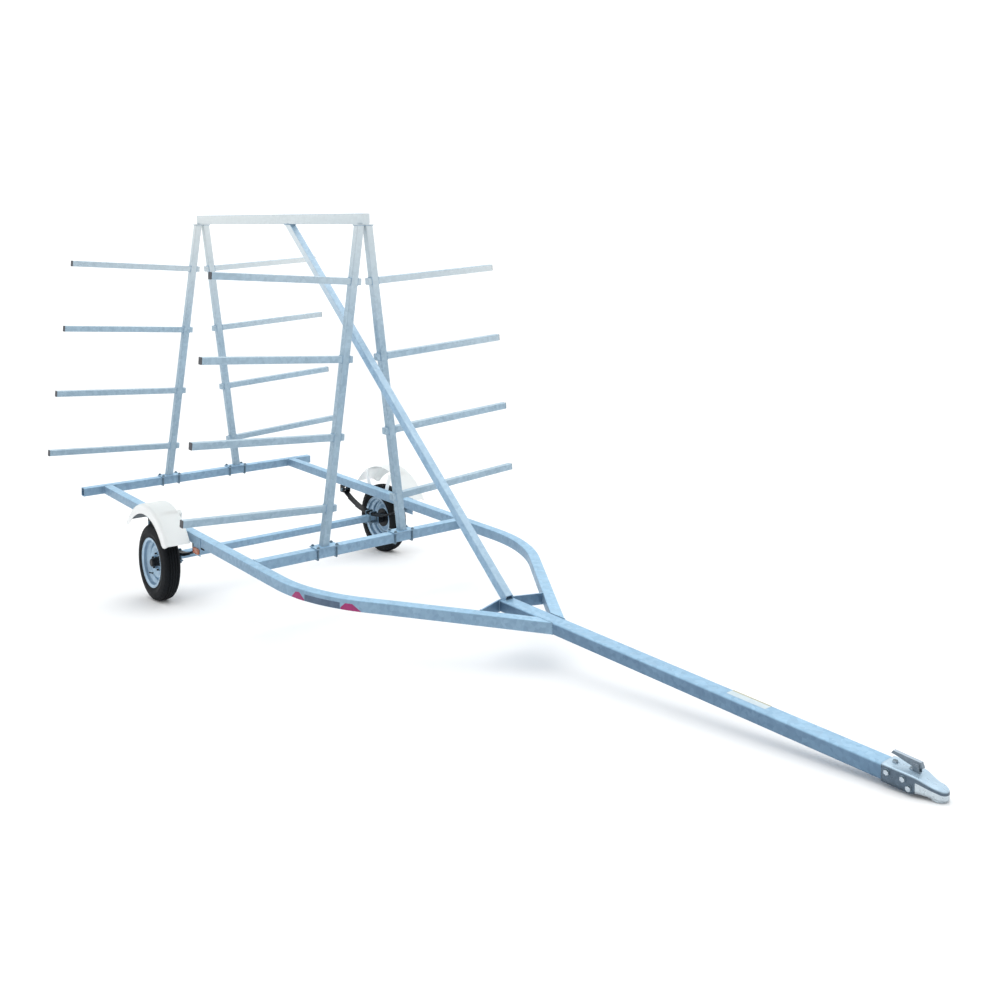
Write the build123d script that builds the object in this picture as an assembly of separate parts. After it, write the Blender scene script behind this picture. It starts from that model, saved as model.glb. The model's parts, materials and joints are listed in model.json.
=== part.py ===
from build123d import *
import os
from math import asin, atan2, cos, degrees, hypot, radians, sin, tan

# A galvanised kayak trailer: a bent-rail frame with a central tongue, two
# lean-to rack frames that carry four levels of arms a side, a brace, one
# sprung axle, two wheels under plastic fenders and a ball coupler.
# Millimetres. While it is drawn the frame stands level: +X forward, +Y left,
# +Z up, the floor at z = 0 and the axle over x = 0. At the end every piece is
# tipped about the axle line until the coupler rests on the floor, as the
# trailer parks with nothing hitched to it.

# Wheels, from the size of a 4.80-12 tyre on a 4 inch wide rim
TYRE_DIA = 521
TYRE_WIDTH = 120
TYRE_GAP = 16.25
BEAD_RADIUS = 152.4
FLANGE_RADIUS = 168.5
FLANGE_BEND = 5
RIM_HALF_WIDTH = 50.8
RIM_GAUGE = 3
LUG_COUNT = 5
LUG_CIRCLE = 114.3
STUD_RADIUS = 6.35
SPINDLE_RADIUS = 13.5
BEARING_GAP = 0.05

# Frame tubes
RAIL = 63.5
RAIL_WALL = 3
RAIL_Y = 801
DECK_Z = 522
REAR_X = -1338
FRONT_X = 1173
CROSSBAR_LENGTH = 1972
BEND_X = 1886
BEND_ANGLE = 34
BEND_RADIUS = 1100
TONGUE_WIDTH = 88.9
TONGUE_HEIGHT = 63.5
TONGUE_WALL = 4.8
TONGUE_REAR_X = 2632
TONGUE_FRONT_X = 5062
CROSS_LEAN = 20
CROSS_GAUGE = 9.5

# Rack
POST = 50.8
POST_WALL = 3
FOOT_Y = 296
APEX_Y = 32
TOP_BAR_Z = 2602
TOP_BAR_TALL = 70
TOP_BAR_WIDE = 50.8
TOP_BAR_OVERHANG = 12
PLATE = 6
PLATE_MARGIN = 4
FOOT_PLATE = (96, 165, 6.5)
FOOT_BOLT_Y = 67
FOOT_PLATE_Y = 290
ARM = 44.45
ARM_WALL = 3
ARM_LENGTH = 1021
ARM_INNER = 50.5
ARM_RISE = 3.75
ARM_LEVELS = (763, 1209.5, 1703.5, 2200)
CAP_FLANGE = 3
CAP_PLUG = 14
BRACE = 50.8
BRACE_TOP_X = 142
BRACE_FOOT_X = 2655

# Suspension
AXLE = 50.8
AXLE_WALL = 4.8
AXLE_Z = 277
SPRING_INSET = 6
SPRING_WIDE = 44.45
LEAF = 6.35
SPRING_HALF = 390
SPRING_ARCH = 96
EYE = 16
HANGER_GAUGE = 5
HANGER_HALF = 32
ROD = 10

# Fender, an arc a little ahead of the wheel
FENDER_X = 41
FENDER_Z = 232
FENDER_RADIUS = 440
FENDER_GAUGE = 3
FENDER_SET = 28
FENDER_WIDE = 162
FENDER_REAR = 143
FENDER_FRONT = 33
FENDER_SKIRT = 62
FENDER_BEND = 22

# Side marker and its bracket
BRACKET_AHEAD = 17
BRACKET_LONG = 106
BRACKET_TALL = 122
BRACKET_GAUGE = 4
LENS_LONG = 92
LENS_TALL = 40
LENS_DEEP = 16
LENS_MARGIN = 8

# Coupler
BALL_X = 5146
BALL_RADIUS = 25.9
BALL_SEAT = 18
COUPLER_GAUGE = 4.8
COUPLER_REAR_X = 4940
COUPLER_NOSE = 38
COUPLER_DEPTH = 64
COUPLER_SLOPE_X = 5072
NOSE_TOP = 19
NOSE_FALL = 8
NUT = 8
BOLT_STUB = 1
SIDE_BOLTS = ((4964, 20), (5030, 20), (5054, 46))

# Worked-out places
HUB_Z = TYRE_DIA / 2
RAIL_FACE = RAIL_Y + RAIL / 2
HALF_TRACK = RAIL_FACE + TYRE_GAP + TYRE_WIDTH / 2
SPRING_Y = RAIL_Y - SPRING_INSET
FENDER_INNER_Y = RAIL_FACE + FENDER_SET
FENDER_OUTER_Y = FENDER_INNER_Y + FENDER_WIDE
RAIL_Z = DECK_Z - RAIL / 2
RAIL_BOTTOM = DECK_Z - RAIL
TONGUE_Z = DECK_Z - TONGUE_HEIGHT / 2
FOOT_Z = DECK_Z + FOOT_PLATE[2]
APEX_Z = TOP_BAR_Z - TOP_BAR_TALL / 2 - PLATE
LEAN = (FOOT_Y - APEX_Y) / (APEX_Z - DECK_Z)
SIDES = (("right", -1), ("left", 1))
FRAMES = (("rear", REAR_X), ("front", FRONT_X))

# How far the nose drops until the coupler's lower lip is on the floor
LIP_X = BALL_X + COUPLER_NOSE
LIP_Z = DECK_Z - COUPLER_DEPTH
DROP = LIP_Z - HUB_Z
PITCH = degrees(atan2(DROP, LIP_X) + asin(HUB_Z / hypot(LIP_X, DROP)))


def block(x, y, z):
    """A box given by its low and high limits on each axis."""
    size = Box(x[1] - x[0], y[1] - y[0], z[1] - z[0])
    return Pos(sum(x) / 2, sum(y) / 2, sum(z) / 2) * size


def section(wide, tall, wall):
    """The outline of a square or oblong tube with rounded corners."""
    outer = RectangleRounded(wide, tall, 2 * wall)
    return outer - RectangleRounded(wide - 2 * wall, tall - 2 * wall, wall)


def along(start, end, across=(0, 1, 0)):
    """A plane at start that looks towards end, its x axis lying across."""
    run = Vector(*end) - Vector(*start)
    side = Vector(*across)
    side = side - run * (side.dot(run) / run.dot(run))
    return Plane(origin=start, x_dir=side.normalized(), z_dir=run.normalized())


def tube(start, end, wide, tall, wall, across=(0, 1, 0)):
    """A straight open tube, wide along across and tall at right angles."""
    length = (Vector(*end) - Vector(*start)).length
    return extrude(along(start, end, across) * section(wide, tall, wall), length)


def bar(start, end, wide, tall, corner, across=(0, 1, 0)):
    """The solid that such a tube would fill."""
    length = (Vector(*end) - Vector(*start)).length
    shape = RectangleRounded(wide, tall, corner)
    return extrude(along(start, end, across) * shape, length)


def rod(start, end, radius):
    """A round bar between two points."""
    run = Vector(*end) - Vector(*start)
    plane = Plane(origin=start, z_dir=run.normalized())
    return extrude(plane * Circle(radius), run.length)


def hexagon(start, end, flats, hole=0):
    """A hexagon bar between two points, bored where hole is given."""
    run = Vector(*end) - Vector(*start)
    plane = Plane(origin=start, z_dir=run.normalized())
    shape = RegularPolygon(flats / 2, 6, major_radius=False)
    if hole:
        shape = shape - Circle(hole)
    return extrude(plane * shape, run.length)


def post_y(z):
    """How far a rack post's centreline is from the middle at a height."""
    return APEX_Y + (APEX_Z - z) * LEAN


def make_rail(side):
    """One frame rail: straight, one long bend, then in to the tongue."""
    reach = BEND_RADIUS * tan(radians(BEND_ANGLE / 2))
    slant = RAIL_Y / sin(radians(BEND_ANGLE))
    heading = (cos(radians(BEND_ANGLE)), -side * sin(radians(BEND_ANGLE)))
    back = (REAR_X + RAIL / 2, side * RAIL_Y, RAIL_Z)
    bend_in = (BEND_X - reach, side * RAIL_Y, RAIL_Z)
    bend_out = (BEND_X + reach * heading[0], side * RAIL_Y + reach * heading[1], RAIL_Z)
    tip = (BEND_X + slant * heading[0], side * RAIL_Y + slant * heading[1], RAIL_Z)
    turn = TangentArc(bend_in, bend_out, tangent=(1, 0, 0))
    path = Line(back, bend_in) + turn + Line(bend_out, tip)
    shape = sweep(along(back, bend_in) * section(RAIL, RAIL, RAIL_WALL), path)
    half = TONGUE_WIDTH / 2
    beyond = sorted((side * half, -2 * side * TONGUE_WIDTH))
    return shape - block((BEND_X, BEND_X + slant), beyond, (RAIL_BOTTOM - RAIL, DECK_Z + RAIL))


def make_post(side, x):
    """A leaning rack post with its arm holes cut through both side walls."""
    low, high = DECK_Z - 60, APEX_Z + 60
    start, end = (x, side * post_y(low), low), (x, side * post_y(high), high)
    shape = tube(start, end, POST, POST, POST_WALL, (1, 0, 0))
    for z in ARM_LEVELS:
        shape = shape - bar(*arm_ends(side, x, z), ARM, ARM, 2 * ARM_WALL, (1, 0, 0))
    reach = FOOT_Y + 2 * POST
    keep = block((x - POST, x + POST), (-reach, reach), (FOOT_Z, APEX_Z))
    return shape & keep


def arm_ends(side, x, z):
    """The two ends of an arm's centreline, the inner one first."""
    rise, out = sin(radians(ARM_RISE)), cos(radians(ARM_RISE))
    inner = (x, side * (post_y(z) - ARM_INNER * out), z - ARM_INNER * rise)
    reach = ARM_LENGTH
    outer = (x, inner[1] + side * reach * out, inner[2] + reach * rise)
    return inner, outer


def make_arms(side, x):
    """The four arms on one post, each closed by a plate at its inner end."""
    arms = []
    for z in ARM_LEVELS:
        inner, outer = (Vector(*end) for end in arm_ends(side, x, z))
        lid = bar(inner, inner + (outer - inner).normalized() * ARM_WALL, ARM, ARM, 2 * ARM_WALL, (1, 0, 0))
        arms.append(tube(inner, outer, ARM, ARM, ARM_WALL, (1, 0, 0)) + lid)
    return arms


def make_caps(side, x):
    """The plastic plugs in the outer ends of those arms."""
    caps = []
    inside = ARM - 2 * ARM_WALL
    for z in ARM_LEVELS:
        inner, end = (Vector(*end) for end in arm_ends(side, x, z))
        way = (end - inner).normalized()
        lid = bar(end, end + way * CAP_FLANGE, ARM, ARM, 2 * ARM_WALL, (1, 0, 0))
        plug = bar(end, end - way * CAP_PLUG, inside, inside, ARM_WALL, (1, 0, 0))
        caps.append(lid + plug)
    return caps


def make_foot_plates():
    """The plates under the four posts, drilled for the crossbar bolts."""
    long, wide, thick = FOOT_PLATE
    plates = []
    for _, x in FRAMES:
        for _, side in SIDES:
            y = side * FOOT_PLATE_Y
            plate = Pos(x, y, DECK_Z + thick / 2) * Box(long, wide, thick)
            for bolt_x, bolt_y in foot_bolts(x, y):
                plate = plate - Pos(bolt_x, bolt_y, DECK_Z) * Cylinder(ROD / 2, 60)
            plates.append(plate)
    return plates


def foot_bolts(x, y):
    """Where the legs of a foot's two square bolts stand."""
    leg = RAIL / 2 + ROD / 2
    return [(x + i * leg, y + j * FOOT_BOLT_Y) for i in (-1, 1) for j in (-1, 1)]


def make_square_bolt(leg_a, leg_b, tip, crown, way=1):
    """A bolt bent square around a tube; way is 1 where its legs point up."""
    bend = ROD / 2 + 0.5
    corners = [Vector(*leg_a, crown), Vector(*leg_b, crown)]
    across = (corners[1] - corners[0]).normalized()
    up = Vector(0, 0, way)
    ends = [Vector(*leg_a, tip), Vector(*leg_b, tip)]
    path = Line(ends[0], corners[0] + up * bend)
    path += TangentArc(corners[0] + up * bend, corners[0] + across * bend, tangent=-up)
    path += Line(corners[0] + across * bend, corners[1] - across * bend)
    path += TangentArc(corners[1] - across * bend, corners[1] + up * bend, tangent=across)
    path += Line(corners[1] + up * bend, ends[1])
    return sweep(Plane(origin=ends[0], z_dir=-up) * Circle(ROD / 2), path)


def make_foot_ubolts():
    """Two square bolts around the crossbar under each post."""
    bolts = []
    for _, x in FRAMES:
        for _, side in SIDES:
            legs = foot_bolts(x, side * FOOT_PLATE_Y)
            for leg_a, leg_b in ((legs[0], legs[2]), (legs[1], legs[3])):
                bottom = RAIL_BOTTOM - ROD / 2
                bolts.append(make_square_bolt(leg_a, leg_b, FOOT_Z + NUT + 4, bottom))
    return bolts


def make_foot_nuts():
    """The nuts on those bolts."""
    nuts = []
    for _, x in FRAMES:
        for _, side in SIDES:
            for leg in foot_bolts(x, side * FOOT_PLATE_Y):
                start, end = (*leg, FOOT_Z), (*leg, FOOT_Z + NUT)
                nuts.append(hexagon(start, end, 17, ROD / 2))
    return nuts


def make_top_bar():
    """The bar along the top of both racks, closed by a plate at each end."""
    reach = POST / 2 + TOP_BAR_OVERHANG
    start, end = (REAR_X - reach, 0, TOP_BAR_Z), (FRONT_X + reach, 0, TOP_BAR_Z)
    size = TOP_BAR_WIDE, TOP_BAR_TALL
    shape = tube(start, end, *size, POST_WALL)
    for x in (start[0], end[0] - POST_WALL):
        shape = shape + bar((x, 0, TOP_BAR_Z), (x + POST_WALL, 0, TOP_BAR_Z), *size, 2 * POST_WALL)
    return shape


def make_brace():
    """The long prop from the top bar down to the tongue."""
    top = (BRACE_TOP_X, 0, TOP_BAR_Z)
    foot = (BRACE_FOOT_X, 0, DECK_Z)
    slope = (foot[2] - top[2]) / (foot[0] - top[0])
    ends = [(x, 0, foot[2] + (x - foot[0]) * slope) for x in (top[0] - 60, foot[0] + 60)]
    shape = tube(*ends, BRACE, BRACE, POST_WALL)
    under = TOP_BAR_Z - TOP_BAR_TALL / 2
    end_x = BRACE_FOOT_X + 10
    keep = block((BRACE_TOP_X - 2 * BRACE, end_x), (-BRACE, BRACE), (DECK_Z, under))
    return shape & keep


def make_spring(side):
    """A slipper spring: a main leaf with a rolled eye and two under it."""
    radius = (SPRING_HALF**2 + SPRING_ARCH**2) / (2 * SPRING_ARCH)
    seat = AXLE_Z + AXLE / 2
    hub = seat + 3 * LEAF + radius
    y = side * SPRING_Y
    plane = Plane(origin=(0, y + SPRING_WIDE / 2, hub), x_dir=(1, 0, 0), z_dir=(0, -1, 0))
    half = degrees(asin(SPRING_HALF / radius))
    leaves = []
    for index, share in enumerate((1, 0.78, 0.5)):
        inner = radius + index * LEAF
        outline = sector(inner, inner + LEAF, 270 - half * share, 270 + half * share)
        leaves.append(extrude(plane * outline, SPRING_WIDE))
    eye_x = SPRING_HALF
    eye_z = hub - radius * cos(radians(half)) + EYE - LEAF
    eye = Pos(eye_x, y, eye_z) * Rot(90, 0, 0) * Cylinder(EYE, SPRING_WIDE)
    bore = Pos(eye_x, y, eye_z) * Rot(90, 0, 0) * Cylinder(9, 2 * SPRING_WIDE)
    leaves[0] = leaves[0] + eye - bore
    return leaves, (eye_x, eye_z)


def sector(inner, outer, start, end):
    """A ring's slice between two angles, as a flat outline."""
    corner = lambda r, a: (r * cos(radians(a)), r * sin(radians(a)))
    middle = (start + end) / 2
    edges = ThreePointArc(corner(outer, start), corner(outer, middle), corner(outer, end))
    edges += Line(corner(outer, end), corner(inner, end))
    edges += ThreePointArc(corner(inner, end), corner(inner, middle), corner(inner, start))
    edges += Line(corner(inner, start), corner(outer, start))
    return make_face(edges)


def make_hangers(side, eye):
    """The brackets under the rail that hold the spring's two ends."""
    ear = SPRING_WIDE / 2 + 1.5
    y = side * SPRING_Y
    hangers = []
    for x, z in (eye, (-eye[0], eye[1])):
        outside = block(
            (x - HANGER_HALF, x + HANGER_HALF),
            (y - ear - HANGER_GAUGE, y + ear + HANGER_GAUGE),
            (z - EYE - 6, RAIL_BOTTOM),
        )
        room = (x - 2 * HANGER_HALF, x + 2 * HANGER_HALF)
        inside = block(room, (y - ear, y + ear), (z - 2 * HANGER_HALF, RAIL_BOTTOM - HANGER_GAUGE))
        hole = Pos(x, y, z) * Rot(90, 0, 0) * Cylinder(8, 200)
        hangers.append(outside - inside - hole)
    return hangers


def make_hanger_bolts(side, eye):
    """The bolts across the hangers, one of them through the spring's eye."""
    ear = SPRING_WIDE / 2 + 1.5 + HANGER_GAUGE
    y = side * SPRING_Y
    bolts = []
    for x, z in (eye, (-eye[0], eye[1])):
        shank = rod((x, y - ear - 8, z), (x, y + ear + 10, z), 8)
        head = hexagon((x, y - ear - 8, z), (x, y - ear, z), 22)
        nut = hexagon((x, y + ear, z), (x, y + ear + 10, z), 22)
        bolts.append(shank + head + nut)
    return bolts


def make_axle_clamp(side):
    """Two bolts over the spring and the plate that they pull up under the axle."""
    y = side * SPRING_Y
    top = AXLE_Z + AXLE / 2 + 3 * LEAF
    bottom = AXLE_Z - AXLE / 2
    leg_y = SPRING_WIDE / 2 + ROD / 2 + 1
    wide = leg_y + 8
    plate = block((-52, 52), (y - wide, y + wide), (bottom - PLATE, bottom))
    pieces = []
    for x in (-AXLE / 2 - ROD / 2, AXLE / 2 + ROD / 2):
        low = bottom - PLATE - 18
        legs = ((x, y - leg_y), (x, y + leg_y))
        bolt = make_square_bolt(*legs, low, top + ROD / 2 + 1, -1)
        for leg in legs:
            plate = plate - Pos(*leg, bottom) * Cylinder(ROD / 2, 60)
            nut = hexagon((*leg, bottom - PLATE - 9), (*leg, bottom - PLATE), 17)
            bolt = bolt + nut
        pieces.append(bolt)
    return [*pieces, plate]


def spin(outline, side):
    """Turns an outline, drawn as (outward, radius) points, about the wheel's axis."""
    plane = Plane(origin=(0, side * HALF_TRACK, HUB_Z), x_dir=(0, side, 0), z_dir=(1, 0, 0))
    axis = Axis((0, side * HALF_TRACK, HUB_Z), (0, 1, 0))
    return revolve(plane * outline, axis)


def make_tyre(side):
    """The tyre's casing, hollow, its beads on the rim's seats."""
    half = TYRE_WIDTH / 2
    crown = TYRE_DIA / 2
    outer = [
        (RIM_HALF_WIDTH, BEAD_RADIUS),
        (RIM_HALF_WIDTH, FLANGE_RADIUS - FLANGE_BEND),
        (half - 3, 182),
        (half, 203),
        (half - 3, 226),
        (half - 11, 244),
        (half - 22, crown - 7),
        (half - 42, crown - 1.5),
        (0, crown),
    ]
    inner = [
        (0, crown - 11),
        (half - 30, crown - 14),
        (half - 16, 238),
        (half - 9, 222),
        (half - 6, 203),
        (half - 10, 184),
        (half - 22, 168),
        (half - 24, BEAD_RADIUS),
    ]
    outside = outer + [(-w, r) for w, r in reversed(outer[:-1])]
    hollow = [(-w, r) for w, r in reversed(inner)] + inner[1:]
    return spin(make_face(Polyline(*outside, *hollow, close=True)), side)


def make_rim(side):
    """A pressed wheel: rolled flanges, a drop well and a dished disc."""
    g = RIM_GAUGE
    w, bead, flange = RIM_HALF_WIDTH, BEAD_RADIUS, FLANGE_RADIUS
    well = 131
    outside = [
        (-w - 6, flange),
        (-w - 3, flange),
        (-w, flange - FLANGE_BEND),
        (-w, bead),
        (-w + 26, bead),
        (-w + 36, well),
        (w - 42, well),
        (w - 26, bead),
        (w, bead),
        (w, flange - FLANGE_BEND),
        (w + 3, flange),
        (w + 6, flange),
    ]
    inside = [
        (w + 6, flange - g),
        (w + g + 1, flange - g),
        (w + g, flange - 7),
        (w + g, bead - g),
        (w - 24, bead - g),
        (w - 40, well - g),
        (-w + 34, well - g),
        (-w + 24, bead - g),
        (-w - g, bead - g),
        (-w - g, flange - 7),
        (-w - g - 1, flange - g),
        (-w - 6, flange - g),
    ]
    barrel = make_face(Polyline(*outside, *inside, close=True))
    face = [(0, 34), (0, 74), (9, 84), (17, 98), (15, 112), (5, 122), (3, well - g)]
    back = [(h - g, r) for h, r in reversed(face)]
    disc = make_face(Polyline(*face, *back, close=True))
    shape = spin(barrel + disc, side)
    for x, z in lugs():
        hole = Pos(x, side * HALF_TRACK, HUB_Z + z) * Rot(90, 0, 0) * Cylinder(STUD_RADIUS + 0.4, 60)
        shape = shape - hole
    return shape


def lugs():
    """The stud places around the wheel's axis, as x and z offsets."""
    steps = [radians(90 + 360 * i / LUG_COUNT) for i in range(LUG_COUNT)]
    return [(LUG_CIRCLE / 2 * cos(a), LUG_CIRCLE / 2 * sin(a)) for a in steps]


def make_hub(side):
    """The hub casting: flange, barrel, bearing bore and wheel studs."""
    back = -RIM_GAUGE
    bore = SPINDLE_RADIUS + BEARING_GAP
    outline = Polyline(
        (-55, bore),
        (-55, 38),
        (back - 9, 38),
        (back - 9, 70),
        (back, 70),
        (back, 32),
        (30, 30),
        (30, bore),
        close=True,
    )
    shape = spin(make_face(outline), side)
    for x, z in lugs():
        y = side * HALF_TRACK
        start = (x, y + side * (back - 9), HUB_Z + z)
        end = (x, y + side * 30, HUB_Z + z)
        shape = shape + rod(start, end, STUD_RADIUS)
    return shape


def make_lug_nuts(side):
    """The nuts that hold the wheel on its studs."""
    nuts = []
    for x, z in lugs():
        y = side * HALF_TRACK
        start, end = (x, y, HUB_Z + z), (x, y + side * 18, HUB_Z + z)
        nuts.append(hexagon(start, end, 20.6, STUD_RADIUS))
    return nuts


def make_grease_cap(side):
    """The cap over the bearing, pressed on the hub's nose."""
    outline = Polyline(
        (30, SPINDLE_RADIUS + 2), (30, 30), (52, 28), (58, 22), (58, 0), (54, 0), (54, 20),
        (49, 25), (34, 26), (34, SPINDLE_RADIUS + 2), close=True,
    )
    return spin(make_face(outline), side)


def make_spindle(side):
    """The stub that the wheel turns on, set low on the axle's end."""
    y = side * HALF_TRACK
    start = (0, y - side * 65, HUB_Z)
    end = (0, y + side * 29, HUB_Z)
    foot = block((-32, 32), sorted((y - side * 75, y - side * 65)), (HUB_Z - 32, AXLE_Z + 30))
    return foot + rod(start, end, SPINDLE_RADIUS)


def make_fender(side):
    """A moulded plastic fender: a rounded top and a skirt down its outer side."""
    g, bend = FENDER_GAUGE, FENDER_BEND
    inner, outer = FENDER_INNER_Y, FENDER_OUTER_Y
    top, low = FENDER_RADIUS, FENDER_RADIUS - FENDER_SKIRT
    turn = lambda r, a: (outer - bend + r * cos(radians(a)), top - bend + r * sin(radians(a)))
    path = Polyline((inner, top - g), (inner, top), turn(bend, 90))
    path += ThreePointArc(turn(bend, 90), turn(bend, 45), turn(bend, 0))
    path += Polyline(turn(bend, 0), (outer, low), (outer - g, low), turn(bend - g, 0))
    path += ThreePointArc(turn(bend - g, 0), turn(bend - g, 45), turn(bend - g, 90))
    path += Line(turn(bend - g, 90), (inner, top - g))
    plane = Plane(origin=(FENDER_X, 0, FENDER_Z), x_dir=(0, side, 0), z_dir=(1, 0, 0))
    ring = revolve(plane * make_face(path), Axis((FENDER_X, 0, FENDER_Z), (0, 1, 0)))
    middle, half = side * (inner + outer) / 2, FENDER_WIDE / 2 + bend
    plane = Plane(origin=(FENDER_X, middle + half, FENDER_Z), x_dir=(1, 0, 0), z_dir=(0, -1, 0))
    return ring & extrude(plane * sector(low - bend, top + bend, FENDER_FRONT, FENDER_REAR), 2 * half)


def make_fender_straps(side):
    """Two flat straps from the rail's outer face out under the fender."""
    straps = []
    face = RAIL_FACE
    under = FENDER_RADIUS - FENDER_GAUGE
    for turn in (-24, 22):
        arm = block((-19, 19), (face, FENDER_OUTER_Y - 50), (under - 6, under - 1))
        leg = block((-19, 19), (face, face + 5), (270, under - 1))
        strap = arm + leg
        if side < 0:
            strap = mirror(strap, about=Plane.XZ)
        straps.append(Pos(FENDER_X, 0, FENDER_Z) * Rot(0, turn, 0) * strap)
    return straps


def make_marker_bracket(side):
    """The plate on the rail's outer face that carries the side marker."""
    face, start = RAIL_FACE, SPRING_HALF + BRACKET_AHEAD
    wide = sorted((side * face, side * (face + BRACKET_GAUGE)))
    return block((start, start + BRACKET_LONG), wide, (DECK_Z - BRACKET_TALL, DECK_Z))


def make_marker(side):
    """The amber side marker's lens."""
    face, low = RAIL_FACE + BRACKET_GAUGE, DECK_Z - BRACKET_TALL + LENS_MARGIN
    middle = SPRING_HALF + BRACKET_AHEAD + BRACKET_LONG / 2
    wide = sorted((side * face, side * (face + LENS_DEEP)))
    lens = block((middle - LENS_LONG / 2, middle + LENS_LONG / 2), wide, (low, low + LENS_TALL))
    return fillet(lens.edges().filter_by(Axis.Y), LENS_TALL / 3)


def make_coupler():
    """A pressed coupler: a channel over the tongue, then a nose that slopes to the ball."""
    g = COUPLER_GAUGE
    half = TONGUE_WIDTH / 2
    top = DECK_Z + g
    bottom = DECK_Z - COUPLER_DEPTH
    shell = extrude(Pos(0, 0, bottom) * plan(COUPLER_REAR_X, half + g, COUPLER_NOSE), top - bottom)
    hollow = extrude(Pos(0, 0, bottom) * plan(COUPLER_REAR_X - 60, half, COUPLER_NOSE - g), top - bottom)
    body = shell & side_view(COUPLER_REAR_X, bottom, top, half + 2 * g)
    body = body - (hollow & side_view(COUPLER_REAR_X - 60, bottom - 1, DECK_Z, half + 2 * g))
    socket_z = bottom + BALL_SEAT
    reach = COUPLER_NOSE
    dome = Pos(BALL_X, 0, socket_z) * Sphere(BALL_RADIUS + g)
    skirt = Pos(BALL_X, 0, (bottom + socket_z) / 2) * Cylinder(BALL_RADIUS + g, socket_z - bottom)
    above = block((BALL_X - reach, BALL_X + reach), (-reach, reach), (socket_z, socket_z + reach))
    ball = Pos(BALL_X, 0, socket_z) * Sphere(BALL_RADIUS)
    mouth = Pos(BALL_X, 0, bottom) * Cylinder(BALL_RADIUS, 2 * BALL_SEAT)
    body = body + (dome & above) + skirt
    body = body - ball - mouth
    return body - bolt_holes()


def side_view(rear, bottom, top, half):
    """The coupler's side outline, pulled out to both sides."""
    corners = [
        (rear, bottom),
        (LIP_X, bottom),
        (LIP_X, top - NOSE_TOP - NOSE_FALL),
        (BALL_X, top - NOSE_TOP),
        (COUPLER_SLOPE_X, top),
        (rear, top),
    ]
    plane = Plane(origin=(0, half, 0), x_dir=(1, 0, 0), z_dir=(0, -1, 0))
    return extrude(plane * make_face(Polyline(*corners, close=True)), 2 * half)


def bolt_holes():
    """What the coupler's bolts take out of the coupler and the tongue."""
    holes = [Pos(x, 0, DECK_Z) * Cylinder(STUD_RADIUS, 4 * TONGUE_HEIGHT) for x in coupler_bolt_x()]
    for x, drop in SIDE_BOLTS:
        holes.append(Pos(x, 0, DECK_Z - drop) * Rot(90, 0, 0) * Cylinder(STUD_RADIUS, 2 * TONGUE_WIDTH))
    return Compound(holes)


def plan(rear, half, nose):
    """The coupler's outline from above, square behind and round in front."""
    end = COUPLER_SLOPE_X
    square = Pos((rear + end) / 2, 0) * Rectangle(end - rear, 2 * half)
    tip = Pos(BALL_X, 0) * Circle(nose)
    return make_hull(square.edges() + tip.edges())


def coupler_bolt_x():
    """Where the two bolts go down through the coupler and the tongue."""
    return (COUPLER_REAR_X + 30, COUPLER_REAR_X + 101)


def make_coupler_bolts():
    """Two bolts down through the tongue and three short ones in each side."""
    bolts = []
    top = DECK_Z + COUPLER_GAUGE
    low = DECK_Z - TONGUE_HEIGHT
    for x in coupler_bolt_x():
        shank = rod((x, 0, low - NUT - BOLT_STUB), (x, 0, top + NUT), STUD_RADIUS)
        head = hexagon((x, 0, top), (x, 0, top + NUT), 19)
        nut = hexagon((x, 0, low - NUT), (x, 0, low), 19)
        bolts.append(shank + head + nut)
    outer = TONGUE_WIDTH / 2 + COUPLER_GAUGE
    inner = TONGUE_WIDTH / 2 - TONGUE_WALL
    for x, drop in SIDE_BOLTS:
        z = DECK_Z - drop
        for side in (-1, 1):
            shank = rod((x, side * (inner - NUT), z), (x, side * (outer + NUT), z), STUD_RADIUS)
            head = hexagon((x, side * outer, z), (x, side * (outer + NUT), z), 19)
            bolts.append(shank + head)
    return bolts


def make_latch():
    """The latch: two cheeks on the coupler's back and a tall pressed lever on a pin."""
    top = DECK_Z + COUPLER_GAUGE
    x = COUPLER_SLOPE_X - 12
    pin = rod((x, -15, top + 24), (x, 15, top + 24), 5)
    cheeks = []
    for s in (-1, 1):
        cheek = block((x - 12, x + 12), sorted((s * 9, s * 13)), (top, top + 32))
        cheeks.append(cheek - pin)
    outline = [(12, 20), (26, 22), (18, 42), (-96, 46), (-104, 34), (-88, 33), (-10, 15)]
    plane = Plane(origin=(0, 8.5, 0), x_dir=(1, 0, 0), z_dir=(0, -1, 0))
    web = make_face(Polyline(*[(x + u, top + v) for u, v in outline], close=True))
    lever = extrude(plane * web, 17)
    return [lever + pin, *cheeks]


def tongue():
    """The tongue tube, drilled for the coupler's bolts."""
    start, end = (TONGUE_REAR_X, 0, TONGUE_Z), (TONGUE_FRONT_X, 0, TONGUE_Z)
    return tube(start, end, TONGUE_WIDTH, TONGUE_HEIGHT, TONGUE_WALL) - bolt_holes()


def meet(point, way, other, other_way):
    """Where two lines on the floor plan cross."""
    gap = (other[0] - point[0], other[1] - point[1])
    cross = lambda a, b: a[0] * b[1] - a[1] * b[0]
    share = cross(gap, other_way) / cross(way, other_way)
    return point[0] + way[0] * share, point[1] + way[1] * share


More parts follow.
